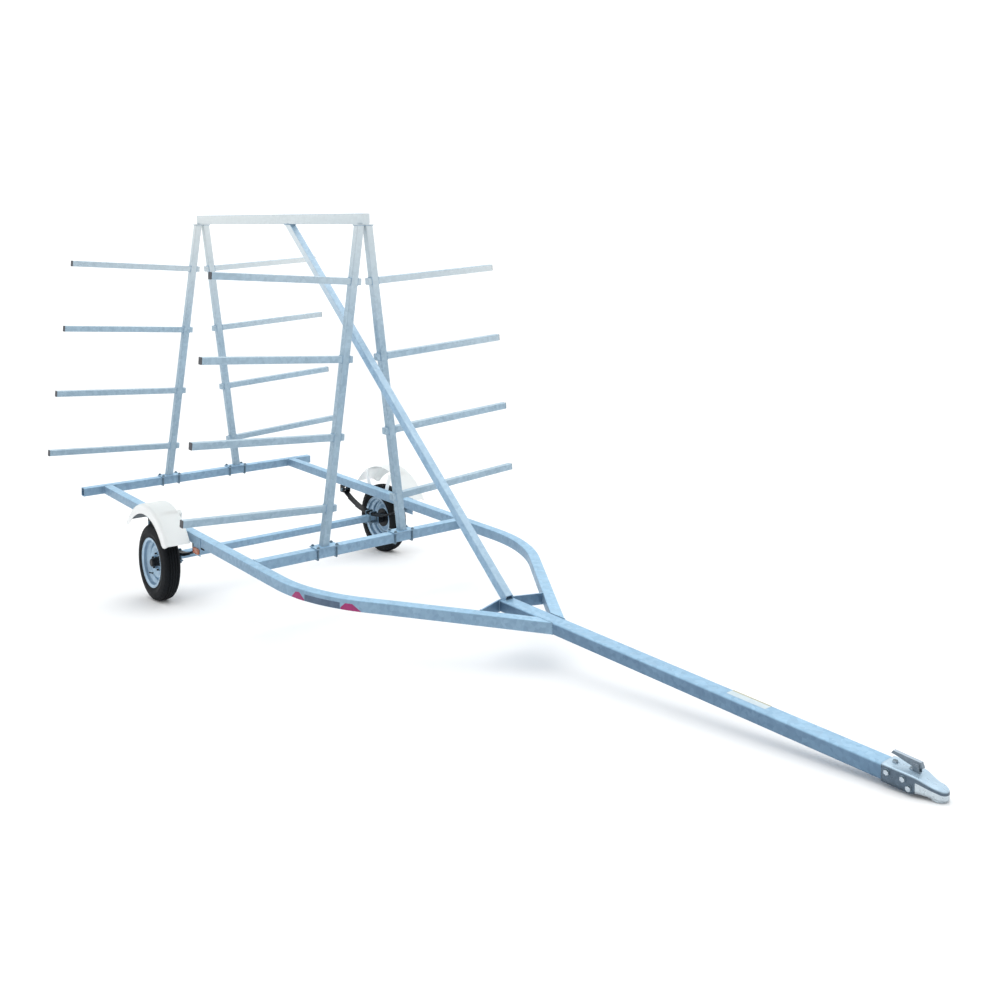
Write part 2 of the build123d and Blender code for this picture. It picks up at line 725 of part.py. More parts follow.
def crossmember():
    """A flat bar on edge, bent forward on both sides of the tongue's rear end."""
    turn, lean = radians(BEND_ANGLE), radians(CROSS_LEAN)
    face = (BEND_X - sin(turn) * RAIL / 2, RAIL_Y - cos(turn) * RAIL / 2)
    outline = []
    for set_back in (0, CROSS_GAUGE):
        elbow = (TONGUE_REAR_X - set_back, TONGUE_WIDTH / 2)
        end = meet(elbow, (sin(lean), cos(lean)), face, (cos(turn), -sin(turn)))
        outline.append([elbow, end])
    front, back = outline
    half = [front[0], front[1], back[1], back[0]]
    corners = half + [(x, -y) for x, y in reversed(half)]
    flat = make_face(Polyline(*corners, close=True))
    return extrude(Pos(0, 0, RAIL_BOTTOM) * flat, RAIL)


def add(name, *shapes):
    """Keeps the solids of one piece, tipped to the parked pose."""
    tip = Pos(0, 0, HUB_Z) * Rot(0, PITCH, 0) * Pos(0, 0, -HUB_Z)
    nodes[name] = [tip * solid for shape in shapes for solid in shape.solids()]


nodes = {}
add("tongue", tongue())
add("tongue_crossmember", crossmember())
all_caps = []
for frame_name, frame_x in FRAMES:
    half = CROSSBAR_LENGTH / 2 if frame_x == REAR_X else RAIL_Y - RAIL / 2
    ends = (frame_x, -half, RAIL_Z), (frame_x, half, RAIL_Z)
    add(frame_name + "_crossbar", tube(*ends, RAIL, RAIL, RAIL_WALL, (1, 0, 0)))
    for side_name, side in SIDES:
        place = frame_name + "_" + side_name
        add("post_" + place, make_post(side, frame_x))
        add("arms_" + place, *make_arms(side, frame_x))
        all_caps += make_caps(side, frame_x)
add("arm_caps", *all_caps)
add("top_bar", make_top_bar())
plate_size = POST + 2 * PLATE_MARGIN, 2 * APEX_Y + POST + 2 * PLATE_MARGIN, PLATE
add("apex_plates", *[Pos(x, 0, APEX_Z + PLATE / 2) * Box(*plate_size) for _, x in FRAMES])
add("brace", make_brace())
add("foot_plates", *make_foot_plates())
add("foot_bolts", *make_foot_ubolts(), *make_foot_nuts())
beam = HALF_TRACK - 75
beam_ends = (0, -beam, AXLE_Z), (0, beam, AXLE_Z)
add("axle_beam", tube(*beam_ends, AXLE, AXLE, AXLE_WALL, (1, 0, 0)))
add("coupler", make_coupler())
add("coupler_bolts", *make_coupler_bolts())
add("coupler_latch", *make_latch())

for side_name, side in SIDES:
    leaves, eye = make_spring(side)
    pieces = (
        ("rail", [make_rail(side)]),
        ("leaf_spring", leaves),
        ("spring_hangers", make_hangers(side, eye)),
        ("hanger_bolts", make_hanger_bolts(side, eye)),
        ("axle_clamp", make_axle_clamp(side)),
        ("spindle", [make_spindle(side)]),
        ("hub", [make_hub(side)]),
        ("grease_cap", [make_grease_cap(side)]),
        ("rim", [make_rim(side)]),
        ("lug_nuts", make_lug_nuts(side)),
        ("tyre", [make_tyre(side)]),
        ("fender", [make_fender(side)]),
        ("fender_straps", make_fender_straps(side)),
        ("marker_bracket", [make_marker_bracket(side)]),
        ("side_marker", [make_marker(side)]),
    )
    for piece_name, shapes in pieces:
        add(piece_name + "_" + side_name, *shapes)

# The origin goes on the floor under the middle of the whole
everything = [solid for solids in nodes.values() for solid in solids]
middle = Compound(everything).bounding_box().center()
os.makedirs("parts", exist_ok=True)
for name, solids in nodes.items():
    moved = [Pos(-middle.X, 0, 0) * solid for solid in solids]
    shape = Compound(children=moved) if len(moved) > 1 else moved[0]
    export_step(shape, "parts/" + name + ".step")
print("nose drop in degrees", PITCH)
print("axle's place behind the middle", middle.X)
print("pieces", len(nodes))
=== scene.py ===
# %% [markdown]
# A galvanised kayak trailer, dressed for a picture.
# The CAD part gives the frame, the rack, the axle and the wheels in one shared frame of
# metres. Here the tubes get the look of hot-dip zinc, and the pieces whose surface says
# most about the real trailer, such as the tyres, fenders and welds, are made anew.
# Each step below first says what the real piece is and how it could be made.

# %% Start and load the part
import bmesh
import bpy
import json
import math
from mathutils import Matrix, Vector


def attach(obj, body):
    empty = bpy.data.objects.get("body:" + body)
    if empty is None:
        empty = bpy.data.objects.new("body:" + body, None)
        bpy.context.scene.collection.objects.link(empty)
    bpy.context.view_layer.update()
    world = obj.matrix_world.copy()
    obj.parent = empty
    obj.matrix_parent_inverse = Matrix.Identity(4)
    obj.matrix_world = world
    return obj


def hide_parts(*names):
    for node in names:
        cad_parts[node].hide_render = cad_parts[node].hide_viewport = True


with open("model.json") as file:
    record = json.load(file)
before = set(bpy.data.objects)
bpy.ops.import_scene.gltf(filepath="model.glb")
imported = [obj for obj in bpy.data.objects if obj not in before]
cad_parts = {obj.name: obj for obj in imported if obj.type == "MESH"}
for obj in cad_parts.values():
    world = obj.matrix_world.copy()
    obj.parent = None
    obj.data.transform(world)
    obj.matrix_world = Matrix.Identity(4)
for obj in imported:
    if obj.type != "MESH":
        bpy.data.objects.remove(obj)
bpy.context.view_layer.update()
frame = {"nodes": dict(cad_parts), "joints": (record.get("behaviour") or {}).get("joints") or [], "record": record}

# %% [markdown]
# The trailer is drawn level, with the axle over x = 0 and the floor at z = 0, and then
# tipped about its axle until the coupler lies on the floor. The record says how far: the
# ball socket's axis points straight down on a level trailer. One matrix does the tipping,
# so every new piece below can be measured on the level trailer, in millimetres.

# %% From the level trailer to the parked one
HUB_Z = 260.5
MM = 0.001
SIDES = ((-1, "right"), (1, "left"))
SQUARE = ((-1, -1), (1, -1), (1, 1), (-1, 1))
socket = [m for m in frame["record"]["mounts"] if m["name"] == "ball_socket"][0]
tip = math.atan2(-socket["axis"][0], -socket["axis"][2])
axle_x = frame["joints"][0]["pos_m"][0]
parked = (
    Matrix.Translation((axle_x, 0, HUB_Z * MM))
    @ Matrix.Rotation(tip, 4, "Y")
    @ Matrix.Translation((0, 0, -HUB_Z * MM))
    @ Matrix.Scale(MM, 4)
)


def parked_point(x, y, z):
    """A point of the level trailer, in millimetres, where it is when parked."""
    return parked @ Vector((x, y, z))


def new_object(name, data):
    """An object with that data, put in the scene."""
    thing = bpy.data.objects.new(name, data)
    bpy.context.scene.collection.objects.link(thing)
    return thing


print("nose drop:", round(math.degrees(tip), 2), "degrees")

# %% [markdown]
# The camera stands ahead of the trailer on its right, a little above head height. It was
# placed by laying the known corners of the tubes over the picture, so its turn, its lens
# and the small shift of its frame are numbers from that fit. It is fixed to the level
# trailer first and then tipped with it, so the view of the trailer is the picture's.

# %% Camera
YAW, PITCH, ROLL = 2.4652, -0.03595, 0.00222
STAND = (7182.5, -3728.3, 2558.4)
FOCUS_PX, CENTRE_PX, FRAME_PX = 1087.7, (495.56, 265.01), 1000
SENSOR_MM = 36
ahead = Vector((math.cos(YAW), math.sin(YAW), math.tan(PITCH))) * math.cos(PITCH)
right = Vector((math.sin(YAW), -math.cos(YAW), 0))
above = right.cross(ahead)
across = right * math.cos(ROLL) + above * math.sin(ROLL)
upward = above * math.cos(ROLL) - right * math.sin(ROLL)
turn = Matrix((across, upward, -ahead)).transposed()
camera_data = bpy.data.cameras.new("camera")
camera = new_object("camera", camera_data)
tip_only = Matrix.Rotation(tip, 3, "Y")
camera.matrix_world = Matrix.Translation(parked_point(*STAND)) @ (tip_only @ turn).to_4x4()
camera_data.sensor_width = SENSOR_MM
camera_data.lens = FOCUS_PX * SENSOR_MM / FRAME_PX
camera_data.shift_x = 0.5 - CENTRE_PX[0] / FRAME_PX
camera_data.shift_y = CENTRE_PX[1] / FRAME_PX - 0.5
camera_data.clip_end = 300
bpy.context.scene.camera = camera
print("camera at", [round(c, 3) for c in camera.location])

# %% [markdown]
# A material here is a small graph of nodes. A few helpers keep the graphs short: one
# starts a material and hands back its shader, one adds a node and sets its values, one
# links sockets, two turn a number into a band of colours or of other numbers, and one
# gives the place on the object. What is the same all over a surface is set straight on
# the shader.

# %% Helpers for materials
def new_material(name, **values):
    """A material with its Principled shader's sockets set."""
    material = bpy.data.materials.new(name)
    material.use_nodes = True
    shader = material.node_tree.nodes["Principled BSDF"]
    for key, value in values.items():
        shader.inputs[key.replace("_", " ")].default_value = value
    return material, shader


def add_node(material, kind, **values):
    """A node of that kind; a name that is no socket is set as a property."""
    node = material.node_tree.nodes.new(kind)
    for key, value in values.items():
        label = key.replace("_", " ")
        if label in node.inputs:
            node.inputs[label].default_value = value
        else:
            setattr(node, key, value)
    return node


def wire(material, *pairs):
    """Links output sockets to input sockets, given two by two."""
    for start, end in zip(pairs[::2], pairs[1::2]):
        material.node_tree.links.new(start, end)


def colour_band(material, stops):
    """A colour ramp with (place, colour) stops."""
    ramp = add_node(material, "ShaderNodeValToRGB")
    elements = ramp.color_ramp.elements
    while len(elements) < len(stops):
        elements.new(0.5)
    for element, (place, colour) in zip(elements, stops):
        element.position = place
        element.color = (*colour, 1)
    return ramp


def number_band(material, source, low, high, start=0.0, end=1.0):
    """Maps a number from one span to another and hands back the output."""
    node = add_node(material, "ShaderNodeMapRange", From_Min=start, From_Max=end)
    node.inputs["To Min"].default_value, node.inputs["To Max"].default_value = low, high
    wire(material, source, node.inputs["Value"])
    return node.outputs["Result"]


def object_points(material, scale=(1, 1, 1)):
    """Object coordinates, stretched by scale."""
    place = add_node(material, "ShaderNodeTexCoord")
    mapping = add_node(material, "ShaderNodeMapping", Scale=scale)
    wire(material, place.outputs["Object"], mapping.inputs["Vector"])
    return mapping.outputs["Vector"]


print("helpers ready")

# %% [markdown]
# Edges are where a coat shows its age: handling rubs them pale and paint wears thin on
# them. The Bevel node finds them on any mesh, because it gives the normal that a rounded
# edge would have. Where that differs from the true normal, there is an edge. Its normal
# also rounds the light on the edge, so the tubes don't look cut from paper. Every finish
# ends in the same way, with worn edges and a fine grain, so one helper does both.

# %% Worn edges and grain
EDGE_FROM, EDGE_FULL = 0.995, 0.82


def edge_wear(material, radius):
    """A number that is 1 on an edge, and the normal of the rounded edge."""
    round_edge = add_node(material, "ShaderNodeBevel", Radius=radius, samples=4)
    surface = add_node(material, "ShaderNodeNewGeometry")
    match = add_node(material, "ShaderNodeVectorMath", operation="DOT_PRODUCT")
    rounded = round_edge.outputs["Normal"]
    wire(material, rounded, match.inputs[0], surface.outputs["Normal"], match.inputs[1])
    return number_band(material, match.outputs["Value"], 0.0, 1.0, EDGE_FROM, EDGE_FULL), rounded


def mix_colour(material, factor, first, second):
    """Mixes two colours, or an output and a colour, by an output."""
    node = add_node(material, "ShaderNodeMix", data_type="RGBA")
    for socket, value in ((node.inputs[6], first), (node.inputs[7], second)):
        if isinstance(value, tuple):
            socket.default_value = (*value, 1)
        else:
            wire(material, value, socket)
    wire(material, factor, node.inputs[0])
    return node.outputs[2]


# This share places a finish's painted light and shade: faces turned up take the top colour, upright faces the side
# colour.
def painted_light_share(material, start, end):
    """A number that is 0 on upright faces and 1 on faces turned to the sky."""
    surface = add_node(material, "ShaderNodeNewGeometry")
    turned = add_node(material, "ShaderNodeSeparateXYZ")
    wire(material, surface.outputs["Normal"], turned.inputs["Vector"])
    return number_band(material, turned.outputs["Z"], 0.0, 1.0, start, end)


def finish_surface(material, shader, colour, worn, clouds, rubbing, radius, grain):
    """Wears the edges where the clouds let it, and lays the grain over the surface.

    rubbing is the (low, high, start, end) band on the clouds, and grain the
    (scale, detail, strength, depth) of the bumps.
    """
    edge, rounded = edge_wear(material, radius)
    rubbed = add_node(material, "ShaderNodeMath", operation="MULTIPLY")
    allowed = number_band(material, clouds, *rubbing)
    wire(material, edge, rubbed.inputs[0], allowed, rubbed.inputs[1])
    coloured = mix_colour(material, rubbed.outputs[0], colour, worn)
    wire(material, coloured, shader.inputs["Base Color"])
    scale, detail, strength, depth = grain
    fine = add_node(material, "ShaderNodeTexNoise", Scale=scale, Detail=detail)
    bump = add_node(material, "ShaderNodeBump", Strength=strength, Distance=depth)
    wire(material, object_points(material), fine.inputs["Vector"])
    wire(material, fine.outputs["Fac"], bump.inputs["Height"])
    wire(material, rounded, bump.inputs["Normal"], bump.outputs["Normal"], shader.inputs["Normal"])


print("edge finder ready")

# %% [markdown]
# Hot-dip zinc is a coat of metal crystals, the spangle, each a centimetre or two wide and
# a little lighter or darker than the next. Outdoors it dulls to a soft blue grey. The faces
# that lie up to the sky are painted paler and the upright ones darker, as lit and shaded
# copies of one coat: painted light on the tops, painted shade on the sides. A photograph
# could be wrapped on, but a Voronoi pattern is sharper at any distance: each cell takes one
# shade and one roughness. A broad noise adds cloudy patches where the coat ran, a stretched
# one its upright streaks, and a fine one the grain that keeps the gloss from looking plastic.
# The rack's upper tubes are painted palest, a painted light that a last mix fades in along
# one line, and the same line makes their lower parts a little darker.

# %% Zinc coat on the tubes
ZINC_EDGE, ZINC_RUBBING, ZINC_GRAIN = 0.0025, (0.05, 0.5, 0.35, 0.65), (420.0, 4.0, 0.12, 0.0006)
PAINTED_LIGHT_LINE, LOW_SPAN = (0.0, 0.35, 1.0), (0.75, 1.6)


def make_zinc(
    name, side, top, cell=48.0, rough=(0.38, 0.58), metal=0.35,
    painted_pale=None, fade=(1.75, 2.7), worn=(0.72, 0.80, 0.84),
):
    """A galvanised finish: (dark, light) for upright faces and for faces turned up.

    The (dark, light) pairs are lit and shaded copies of one coat: painted shade on the
    upright faces, painted light on the faces turned up. Where painted_pale is given, the
    upright faces go over to it between the heights in fade, a painted light, and go a little
    darker lower down along the same line.
    """
    material, shader = new_material(name, Metallic=metal, Specular_IOR_Level=0.45)
    points = object_points(material)
    bend = add_node(material, "ShaderNodeTexNoise", Scale=18.0, Detail=3.0)
    push = add_node(material, "ShaderNodeVectorMath", operation="SCALE", Scale=0.012)
    moved = add_node(material, "ShaderNodeVectorMath", operation="ADD")
    crystals = add_node(material, "ShaderNodeTexVoronoi", Scale=cell)
    shade = add_node(material, "ShaderNodeSeparateColor")
    wire(material, points, bend.inputs["Vector"], bend.outputs["Color"], push.inputs[0])
    wire(material, points, moved.inputs[0], push.outputs[0], moved.inputs[1])
    wire(material, moved.outputs[0], crystals.inputs["Vector"])
    wire(material, crystals.outputs["Color"], shade.inputs["Color"])
    clouds = add_node(material, "ShaderNodeTexNoise", Scale=3.2, Detail=5.0, Roughness=0.6)
    streaks = add_node(material, "ShaderNodeTexNoise", Scale=1.0, Detail=4.0, Roughness=0.55)
    wire(material, points, clouds.inputs["Vector"])
    wire(material, object_points(material, (26, 26, 3.5)), streaks.inputs["Vector"])
    broad = add_node(material, "ShaderNodeMix", data_type="FLOAT", Factor=0.35)
    wire(material, clouds.outputs["Fac"], broad.inputs["A"])
    wire(material, streaks.outputs["Fac"], broad.inputs["B"])
    blend = add_node(material, "ShaderNodeMix", data_type="FLOAT", Factor=0.72)
    wire(material, shade.outputs[0], blend.inputs["A"], broad.outputs["Result"], blend.inputs["B"])
    # Two bands: the shaded colours for upright faces and the lit ones for faces turned up, painted shade and
    # painted light.
    lit_and_shaded_bands = []
    for dark, light in (side, top):
        band = colour_band(material, [(0.28, dark), (0.74, light)])
        wire(material, blend.outputs["Result"], band.inputs["Fac"])
        lit_and_shaded_bands.append(band.outputs["Color"])
    # Painted light: the upright faces go pale towards the top of the rack along one line, and a little darker
    # lower down.
    if painted_pale:
        line = add_node(material, "ShaderNodeVectorMath", operation="DOT_PRODUCT")
        line.inputs[1].default_value = PAINTED_LIGHT_LINE
        wire(material, points, line.inputs[0])
        high = number_band(material, line.outputs["Value"], 0.0, 0.8, *fade)
        low = number_band(material, line.outputs["Value"], 0.22, 0.0, *LOW_SPAN)
        lit_and_shaded_bands[0] = mix_colour(material, high, lit_and_shaded_bands[0], painted_pale)
        lit_and_shaded_bands[0] = mix_colour(material, low, lit_and_shaded_bands[0], tuple(c * 0.72 for c in side[0]))
    colour = mix_colour(material, painted_light_share(material, 0.1, 0.75), *lit_and_shaded_bands)
    wire(material, number_band(material, shade.outputs[1], *rough), shader.inputs["Roughness"])
    finish_surface(
        material, shader, colour, worn, clouds.outputs["Fac"], ZINC_RUBBING, ZINC_EDGE, ZINC_GRAIN
    )
    return material


zinc_frame = make_zinc(
    "zinc_frame", ((0.18, 0.29, 0.41), (0.26, 0.40, 0.53)), ((0.28, 0.46, 0.62), (0.38, 0.60, 0.78))
)
# The tongue is a shaded copy of the frame's zinc: its darker sides are painted shade.
zinc_tongue_painted_shade = make_zinc(
    "zinc_tongue_painted_shade", ((0.10, 0.18, 0.28), (0.15, 0.26, 0.38)), ((0.25, 0.42, 0.58), (0.35, 0.56, 0.74))
)
# The rack's zinc is painted paler towards the top, a painted light, and a little darker low down.
zinc_rack = make_zinc(
    "zinc_rack", ((0.28, 0.39, 0.48), (0.40, 0.53, 0.63)), ((0.36, 0.48, 0.57), (0.46, 0.59, 0.67)),
    painted_pale=(0.76, 0.79, 0.78),
)
# The brace takes the same painted light towards its top.
zinc_brace = make_zinc(
    "zinc_brace", ((0.26, 0.41, 0.56), (0.38, 0.56, 0.73)), ((0.33, 0.47, 0.60), (0.44, 0.59, 0.71)),
    painted_pale=(0.74, 0.79, 0.80), fade=(1.6, 2.4),
)
# The coupler's sides are painted much darker than its top: painted shade and a painted reflection of dark
# surroundings.
zinc_coupler_painted_shade = make_zinc(
    "zinc_coupler_painted_shade",
    ((0.075, 0.11, 0.15), (0.115, 0.16, 0.21)), ((0.42, 0.56, 0.68), (0.50, 0.64, 0.75)),
    120.0, (0.26, 0.4), 0.5,
)
# A pale zinc that paints the bright glare on the coupler nose's lower walls and cup: a painted highlight.
zinc_painted_glare = make_zinc(
    "zinc_painted_glare", ((0.50, 0.58, 0.64), (0.62, 0.70, 0.75)), ((0.52, 0.62, 0.70), (0.60, 0.70, 0.77)),
    120.0, (0.26, 0.38), 0.4,
)
# The coupler's bolt heads are painted with a bright glint on their upright faces and dark tops: painted highlight
# and painted shade.
zinc_painted_glint = make_zinc(
    "zinc_painted_glint", ((0.40, 0.47, 0.54), (0.56, 0.63, 0.69)), ((0.10, 0.15, 0.19), (0.18, 0.25, 0.30)),
    190.0, (0.2, 0.36), 0.6,
)
# Bolts, clamps and washers take a darker copy of the zinc: painted shade, for parts that sit in the shadow of the
# plates.
zinc_bolts_painted_shade = make_zinc(
    "zinc_bolts_painted_shade", ((0.085, 0.14, 0.19), (0.13, 0.20, 0.26)), ((0.26, 0.37, 0.46), (0.36, 0.48, 0.57)),
    190.0, (0.34, 0.5), 0.45, worn=(0.34, 0.42, 0.48),
)
# The latch lever is a darker copy of the zinc: painted shade, with a lighter top.
zinc_lever_painted_shade = make_zinc(
    "zinc_lever_painted_shade", ((0.13, 0.17, 0.21), (0.19, 0.24, 0.29)), ((0.34, 0.42, 0.50), (0.44, 0.52, 0.60)),
    120.0, (0.3, 0.45), 0.4, worn=(0.5, 0.56, 0.62),
)
print("zinc coats:", len([m for m in bpy.data.materials if m.name.startswith("zinc")]))

# %% [markdown]
# The painted and moulded pieces are not metal to the eye. Paint is smooth with a slight
# orange peel, black plastic is dull with a fine grain, and the white fender is thick
# plastic that lets a little light in, so its shadows stay soft.

# %% Paint, plastic, rubber and the lens
COAT_EDGE, COAT_RUBBING = 0.0015, (0.0, 0.6, 0.4, 0.62)


def make_coated(
    name, dark, light, rough, scale=9.0, grain=300.0, depth=0.0004, worn=None, top=None, **values
):
    """A painted or moulded finish with faint clouds, worn edges, a grain and, where top is given, a top colour
    painted on the faces turned up.
    """
    material, shader = new_material(name, **values)
    noise = add_node(material, "ShaderNodeTexNoise", Scale=scale, Detail=6.0, Roughness=0.62)
    wire(material, object_points(material), noise.inputs["Vector"])
    clouds = noise.outputs["Fac"]
    band = colour_band(material, [(0.32, dark), (0.68, light)])
    wire(material, clouds, band.inputs["Fac"])
    colour = band.outputs["Color"]
    # The top colour is painted light: the fender's tops are painted darker than its sides to offset the light from
    # above.
    if top:
        colour = mix_colour(material, painted_light_share(material, 0.15, 0.9), colour, top)
    worn = worn or tuple(min(1.0, c * 1.5 + 0.01) for c in light)
    wire(material, number_band(material, clouds, *rough, 0.3, 0.7), shader.inputs["Roughness"])
    finish_surface(
        material, shader, colour, worn, clouds, COAT_RUBBING, COAT_EDGE, (grain, 3.0, 0.18, depth)
    )
    return material


wheel_paint = make_coated(
    "wheel_paint", (0.27, 0.40, 0.52), (0.44, 0.59, 0.73), (0.26, 0.40), Metallic=0.5
)
black_paint = make_coated(
    "black_paint", (0.004, 0.005, 0.007), (0.014, 0.016, 0.019), (0.34, 0.55), 14.0,
    worn=(0.07, 0.08, 0.09), Specular_IOR_Level=0.2,
)
cap_plastic = make_coated(
    "cap_plastic", (0.022, 0.024, 0.030), (0.045, 0.048, 0.060), (0.45, 0.6), 20.0
)
tyre_rubber = make_coated(
    "tyre_rubber", (0.0025, 0.0035, 0.005), (0.007, 0.009, 0.012), (0.55, 0.75), 11.0, 500.0, 0.0007,
    (0.03, 0.034, 0.04), Specular_IOR_Level=0.14,
)
# The fender's darker top colour is painted shade that holds back the light from above, and its grey edge colour
# paints a dark outline along the rims.
fender_plastic = make_coated(
    "fender_plastic", (0.87, 0.905, 0.90), (0.92, 0.95, 0.94), (0.30, 0.44), 5.0, 160.0, 0.0005,
    (0.42, 0.50, 0.52), (0.64, 0.68, 0.67), Coat_Weight=0.15,
    Subsurface_Weight=0.5, Subsurface_Scale=0.02, Subsurface_Radius=(0.9, 1.0, 1.0),
)
# A grey that paints the shade inside the near fender: painted shade.
fender_painted_shade = make_coated(
    "fender_painted_shade", (0.15, 0.175, 0.195), (0.23, 0.255, 0.275), (0.6, 0.8), 16.0, 220.0, 0.0008,
    (0.40, 0.43, 0.45), Specular_IOR_Level=0.3,
)
amber_lens = make_coated(
    "amber_lens", (0.27, 0.07, 0.03), (0.43, 0.13, 0.05), (0.12, 0.22), 60.0, 200.0, 0.0003,
    (0.8, 0.4, 0.2), Subsurface_Weight=0.3, Subsurface_Scale=0.006, Coat_Weight=0.5,
)
fin_tape = make_coated(
    "fin_tape", (0.26, 0.006, 0.10), (0.34, 0.012, 0.14), (0.3, 0.42), 30.0, worn=(0.4, 0.1, 0.2)
)
blue_tape = make_coated(
    "blue_tape", (0.045, 0.08, 0.14), (0.075, 0.125, 0.20), (0.3, 0.42), 30.0, worn=(0.2, 0.3, 0.4)
)
white_label = make_coated(
    "white_label", (0.50, 0.60, 0.65), (0.60, 0.69, 0.73), (0.4, 0.55), 40.0, worn=(0.4, 0.45, 0.48)
)
label_edge = make_coated(
    "label_edge", (0.52, 0.52, 0.38), (0.62, 0.61, 0.46), (0.4, 0.55), 40.0, worn=(0.4, 0.4, 0.34)
)
print("coated finishes ready")

# %% [markdown]
# The CAD nodes whose shape is right are kept as they are, and only take a finish. A
# short table says which finish goes on which names.

# %% Finishes on the CAD nodes
FINISHES = (
    ("tongue", zinc_tongue_painted_shade), ("rail", zinc_frame), ("rear_crossbar", zinc_frame),
    ("front_crossbar", zinc_frame), ("axle_beam", zinc_frame), ("spindle", zinc_frame),
    ("marker_bracket", zinc_frame), ("fender_straps", fender_plastic), ("spring_hangers", black_paint),
    ("post", zinc_rack), ("arms", zinc_rack), ("top_bar", zinc_rack), ("apex", zinc_rack),
    ("brace", zinc_brace), ("foot_plates", zinc_frame), ("foot_bolts", zinc_bolts_painted_shade),
    ("coupler_bolts", zinc_painted_glint), ("coupler_latch", zinc_lever_painted_shade), ("coupler", zinc_coupler_painted_shade),
    ("hanger_bolts", zinc_bolts_painted_shade), ("axle_clamp", zinc_bolts_painted_shade), ("lug_nuts", zinc_frame),
    ("rim", wheel_paint), ("hub", black_paint), ("grease_cap", black_paint),
    ("leaf_spring", black_paint), ("arm_caps", cap_plastic), ("tyre", tyre_rubber),
    ("fender_left", fender_plastic), ("fender_right", fender_plastic), ("side_marker", amber_lens),
)
for node_name, node in frame["nodes"].items():
    chosen = [finish for start, finish in FINISHES if node_name.startswith(start)][0]
    node.data.materials.clear()
    node.data.materials.append(chosen)
print("finished nodes:", len(frame["nodes"]))

# %% [markdown]
# New pieces are plain meshes. This helper takes points of the level trailer, parks them
# and makes the object at the origin, as the CAD nodes are, so that the finishes' patterns
# sit still on them.

# %% Helper for new pieces
def add_piece(name, points, faces, material, body, replaces=(), smooth=True):
    """A mesh piece that rides on a body and hides the CAD nodes that it replaces."""
    mesh = bpy.data.meshes.new(name)
    mesh.from_pydata([tuple(p) for p in points], [], faces)
    mesh.transform(parked)
    mesh.materials.append(material)
    mesh.polygons.foreach_set("use_smooth", [smooth] * len(mesh.polygons))
    mesh.update()
    piece = new_object(name, mesh)
    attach(piece, body)
    if replaces:
        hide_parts(*replaces)
    return piece


def grid_faces(rows, columns, wrap_rows=False, wrap_columns=False):
    """The quads of a grid of points, joined round where asked."""
    faces = []
    for i in range(rows if wrap_rows else rows - 1):
        for j in range(columns if wrap_columns else columns - 1):
            a, b = i * columns + j, i * columns + (j + 1) % columns
            c, d = (i + 1) % rows * columns + (j + 1) % columns, (i + 1) % rows * columns + j
            faces.append((a, b, c, d))
    return faces


print("piece helper ready")

# %% [markdown]
# A trailer tyre has a round shoulder, a tall sidewall with fine rings, and a tread of ribs
# parted by zigzag grooves. A boolean could cut the grooves, but it is slow and leaves
# ragged edges. Here the tyre's outline is swept round in small steps, and at each step the
# grooves' places are moved a little to one side or the other, which draws the zigzag.

# %% Tyres
TYRE_RADIUS, HALF_TRACK = 260.5, 909.0
BEAD, RIM_HALF = 152.4, 50.8
TREAD_HALF, TREAD_STEPS, SHOULDER_NOTCH, RIB_HALF = 38.5, 264, 2.2, 8.75
CROWN_DROP, SHOULDER = 6.0, 42.0
GROOVES, GROOVE_TOP, GROOVE_FLOOR, GROOVE_DEEP = (-26.0, -9.0, 9.0, 26.0), 3.6, 2.2, 6.0
ZIGZAG = (0, 1.7, 0, -1.7)


def crown(across):
    """The tread's radius at a distance from its middle."""
    return TYRE_RADIUS - CROWN_DROP * (across / SHOULDER) ** 2


def tyre_outline(shift, notch):
    """The (outward, radius) outline; shift moves the grooves, notch cuts the shoulder."""
    side = [(RIM_HALF, BEAD), (RIM_HALF, 160), (51.8, 165), (53.2, 170), (55, 176), (56.2, 181)]
    side += [(57.2, 186), (57.4, 189), (58.4, 190), (58.8, 196), (59.2, 202), (59.9, 203)]
    side += [(59.9, 206), (59.0, 207), (58.6, 214), (57.4, 222), (55.8, 229), (54.2, 234)]
    side += [(54.0, 237), (52.0 - notch, 241), (49.6 - notch, 246), (46.0 - notch, 250.5)]
    side.append((SHOULDER, 253.6 - notch * 0.4))
    tread = [(TREAD_HALF, crown(TREAD_HALF))]
    for groove in reversed(GROOVES):
        place, level = groove + shift, crown(groove)
        tread += [(place + GROOVE_TOP, level), (place + GROOVE_FLOOR, level - GROOVE_DEEP)]
        tread += [(place - GROOVE_FLOOR, level - GROOVE_DEEP), (place - GROOVE_TOP, level)]
        middle = groove - RIB_HALF
        if groove > GROOVES[0]:
            tread.append((middle + shift * 0.3, crown(middle)))
    tread.append((-TREAD_HALF, crown(TREAD_HALF)))
    inner = [(-36, BEAD), (-38, 168), (-50, 184), (-54, 203), (-48, 232), (-30, 246), (0, 249)]
    inner += [(30, 246), (48, 232), (54, 203), (50, 184), (38, 168), (36, BEAD)]
    return side + tread + [(-w, r) for w, r in reversed(side)] + inner


def make_tyre(side, name):
    """One tyre, swept round its axle."""
    points, columns = [], 0
    for step in range(TREAD_STEPS):
        angle = 2 * math.pi * step / TREAD_STEPS
        outline = tyre_outline(ZIGZAG[step % 4], SHOULDER_NOTCH if step % 6 in (0, 1) else 0.0)
        columns = len(outline)
        for w, r in outline:
            y = side * (HALF_TRACK + w)
            points.append((r * math.cos(angle), y, HUB_Z + r * math.sin(angle)))
    faces = grid_faces(TREAD_STEPS, columns, True, True)
    if side > 0:
        faces = [face[::-1] for face in faces]
    return add_piece(
        "tyre_piece_" + name, points, faces, tyre_rubber, "wheel_" + name, ("tyre_" + name,)
    )


for side, name in SIDES:
    tyre = make_tyre(side, name)
    print(tyre.name, len(tyre.data.polygons), "faces")

